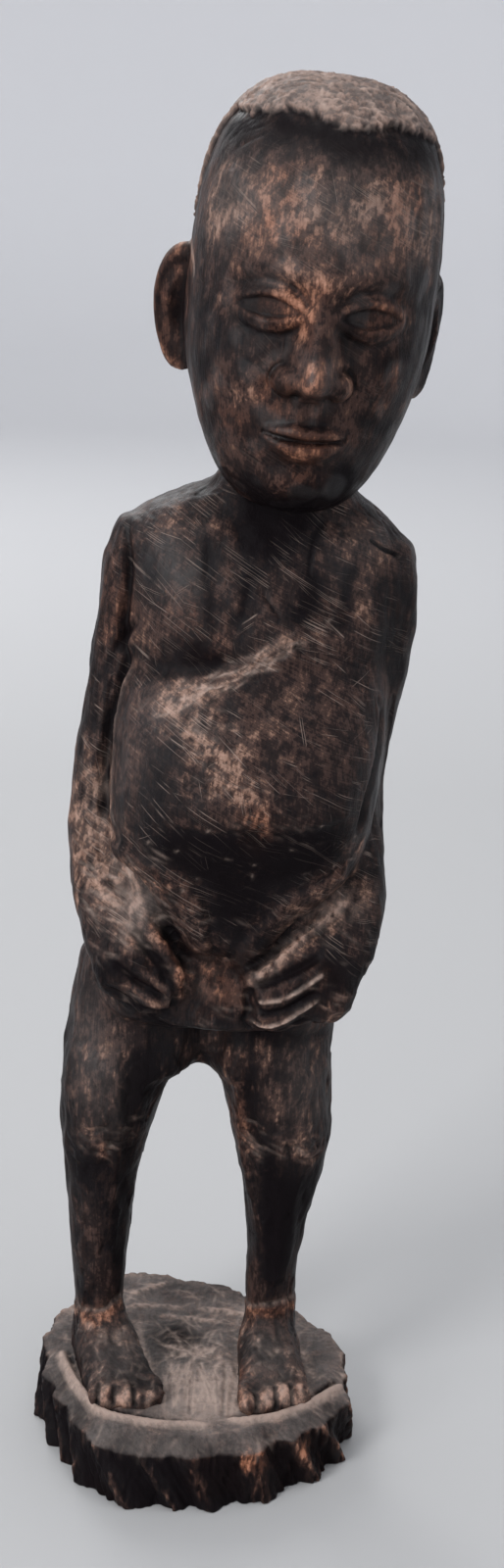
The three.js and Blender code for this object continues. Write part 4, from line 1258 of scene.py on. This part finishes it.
def carvedEbony():
    material, tree, shader = newMaterial("carvedEbony")
    place = addNode(tree, "ShaderNodeTexCoord").outputs["Object"]

    def maths(kind, a, b, clamp=False):
        node = addNode(tree, "ShaderNodeMath", {0: a, 1: b}, operation=kind, use_clamp=clamp)
        return node.outputs[0]

    def times(a, b):
        return maths("MULTIPLY", a, b)

    def less(a, b, clamp=True):
        return maths("SUBTRACT", a, b, clamp)

    # the sum of some layers, each times its share
    def weighed(*parts):
        total = times(*parts[0])
        for layer, share in parts[1:]:
            total = maths("ADD", total, times(layer, share))
        return total

    def between(value, low, high, out=(0, 1)):
        return addNode(tree, "ShaderNodeMapRange", {
            "Value": value, "From Min": low, "From Max": high, "To Min": out[0], "To Max": out[1],
        }, interpolation_type="SMOOTHSTEP").outputs[0]

    # noise in thin, long or round grains; the kept range of it is stretched to 0 to 1
    def noise(size, detail, rough, turn, shift, kept):
        mapped = addNode(tree, "ShaderNodeMapping", {
            "Vector": place,
            "Location": (shift, shift * 0.7, -shift * 0.4),
            "Rotation": (0, math.radians(turn), 0),
            "Scale": [c * mm for c in size],
        }, vector_type="TEXTURE")
        value = addNode(tree, "ShaderNodeTexNoise", {
            "Vector": mapped.outputs[0], "Scale": 1, "Detail": detail, "Roughness": rough,
        }).outputs["Fac"]
        return between(value, *kept) if kept else value

    layers = {name: noise(*values) for name, values in finish["grain"].items()}
    for name in paints + ("edge", "hollow"):
        layers[name] = addNode(tree, "ShaderNodeAttribute", attribute_name=name).outputs["Fac"]
    # each scratch is the edge of a thin sheet that runs from front to back
    scratches = None
    for slope, thick, rareLine, rareSpot in finish["scratches"]:
        shift = 0.013 * slope
        line = noise((90, 120, thick), 0, 0, slope, shift, (rareLine, rareLine + 0.05))
        spot = noise((8, 8, 4), 2, 0.5, slope, shift, (rareSpot, rareSpot + 0.1))
        line = times(line, spot)
        scratches = maths("MAXIMUM", scratches, line) if scratches else line
    scratches = maths("MULTIPLY", scratches, layers["scored"], True)

    # combed wood shows only where it is scored, and worn wood has crisp chips in it
    toned = dict(layers)
    toned["combed"] = times(less(layers["combed"], 0.5, False), layers["scored"])
    toned["tan"] = times(layers["tan"], between(layers["chips"], 0, 1, (0.6, 1.25)))
    tone = weighed(*((toned[name], share) for name, share in finish["tone"].items()))
    ramps = addNode(tree, "ShaderNodeValToRGB", {"Fac": less(tone, finish["darker"])})
    elements = ramps.color_ramp.elements
    while len(elements) < len(finish["stops"]):
        elements.new(0.5)
    for element, (at, name) in zip(elements, finish["stops"]):
        element.position, element.color = at, (*finish[name], 1)
    rusty = times(layers["rust"], between(layers["slow"], 0.2, 0.6))
    colour = mixed(tree, "MULTIPLY", rusty, ramps.outputs["Color"], finish["rust"])
    worn = weighed((layers["flakes"], 0.3), (layers["specks"], 0.5), (layers["combed"], 0.3))
    worn = between(worn, 0.36, 0.72)
    for name, shade, most in finish["coats"]:
        coat = times(layers[name], between(worn, 0, 1, (0.6 * most, most)))
        colour = mixed(tree, "MIX", coat, colour, finish[shade])
    shown = less(finish["scratched"], times(layers["soot"], 0.38))
    colour = mixed(tree, "MIX", times(scratches, shown), colour, finish["light"])
    tree.links.new(colour, shader.inputs["Base Color"])

    gloss = maths("ADD", times(layers["polish"], finish["sheen"]), finish["gloss"])
    gloss = less(gloss, times(layers["soot"], 0.08))
    tree.links.new(gloss, shader.inputs["Specular IOR Level"])
    rough = between(layers["streaks"], 0.3, 0.7, finish["roughness"])
    rough = maths("ADD", rough, times(layers["dust"], 0.2))
    rough = less(rough, times(layers["polish"], 0.08))
    tree.links.new(rough, shader.inputs["Roughness"])
    height = weighed(*((layers[name], share) for name, share in finish["bumps"]))
    bump = addNode(tree, "ShaderNodeBump", {
        "Height": less(height, times(scratches, 0.5), False),
        "Distance": finish["relief"] * mm,
        "Strength": 1,
    })
    tree.links.new(bump.outputs["Normal"], shader.inputs["Normal"])
    return material


studio = {
    "lens": 46.1,
    "cameraAt": (7.7, -409, 286),
    "lookDown": 17.6,
    "roll": 2.0,
    "floorColour": (0.4, 0.4, 0.405),
    "wallColour": (0.69, 0.69, 0.71),
    "paperRoughness": 0.8,
    "paler": (0.5, 2.2),  # metres from the middle, where the floor's colour turns into the wall's
    "floorRadius": 1700,
    "bendRadius": 600,
    "wallHeight": 1500,
    # name, place, width and power in watts
    "lamps": (
        ("key", (-900, -1000, 1250), 480, 13),
        ("window", (-1150, -1250, 420), 620, 11),
        ("fill", (1100, -900, 600), 800, 2.4),
        ("back", (-500, 1100, 1000), 600, 8),
        ("top", (0, 0, 2300), 1800, 22),
    ),
    "lampsAimAt": (7, 0, 170),
    "roomColour": (0.9, 0.94, 1, 1),
    "roomLight": 0.5,
}


# Plain paper, paler towards the far wall.
def makePaper():
    paper, tree, shader = newMaterial("paper")
    place = addNode(tree, "ShaderNodeTexCoord").outputs["Object"]
    away = addNode(tree, "ShaderNodeVectorMath", {0: place}, operation="LENGTH").outputs["Value"]
    near, far = studio["paler"]
    share = addNode(tree, "ShaderNodeMapRange", {
        "Value": away, "From Min": near, "From Max": far,
    }).outputs[0]
    colour = mixed(tree, "MIX", share, studio["floorColour"], studio["wallColour"])
    tree.links.new(colour, shader.inputs["Base Color"])
    shader.inputs["Roughness"].default_value = studio["paperRoughness"]
    return paper


def makeStudio():
    camera = bpy.data.objects.new("camera", bpy.data.cameras.new("camera"))
    scene.collection.objects.link(camera)
    camera.data.lens = studio["lens"]
    camera.data.clip_start, camera.data.clip_end = 0.01, 20
    camera.matrix_world = (
        Matrix.Translation(Vector(studio["cameraAt"]) * mm)
        @ turnBy(90 - studio["lookDown"], "X")
        @ turnBy(studio["roll"], "Z")
    )
    scene.camera = camera
    # the floor curves up into a low wall all round
    start, bend = studio["floorRadius"], studio["bendRadius"]
    line = [(0, 0), (start, 0)]
    line += [
        (start + bend * math.sin(a), bend - bend * math.cos(a))
        for a in np.linspace(0, math.pi / 2, 17)[1:]
    ]
    line.append((start + bend, studio["wallHeight"]))
    sheet = spun("studioSheet", line, 96)
    sheet.data.materials.append(makePaper())
    smoothShaded(sheet)
    for name, at, size, power in studio["lamps"]:
        lamp = bpy.data.lights.new(name, "AREA")
        lamp.size, lamp.energy = size * mm, power
        obj = bpy.data.objects.new(name, lamp)
        obj.location = Vector(at) * mm
        obj.rotation_mode = "QUATERNION"
        aim = Vector(studio["lampsAimAt"]) * mm - obj.location
        obj.rotation_quaternion = aim.to_track_quat("-Z", "Y")
        scene.collection.objects.link(obj)
    scene.world = bpy.data.worlds.new("room")
    scene.world.use_nodes = True
    background = scene.world.node_tree.nodes["Background"]
    background.inputs["Color"].default_value = studio["roomColour"]
    background.inputs["Strength"].default_value = studio["roomLight"]


print("camera and light")
makeStudio()
print("body")
figureBody = makeBody()
print("head")
figureHead = makeHead()
print("base")
logBase = makeBase()
print("material")
wood = carvedEbony()
for obj in (figureBody, figureHead, logBase):
    obj.data.materials.clear()
    obj.data.materials.append(wood)
    smoothShaded(obj)
    markEdges(obj, finish["edgeWear"])
    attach(obj, "root")
    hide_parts("carved_figure")
    print(obj.name, sum(len(p.vertices) - 2 for p in obj.data.polygons), "triangles")
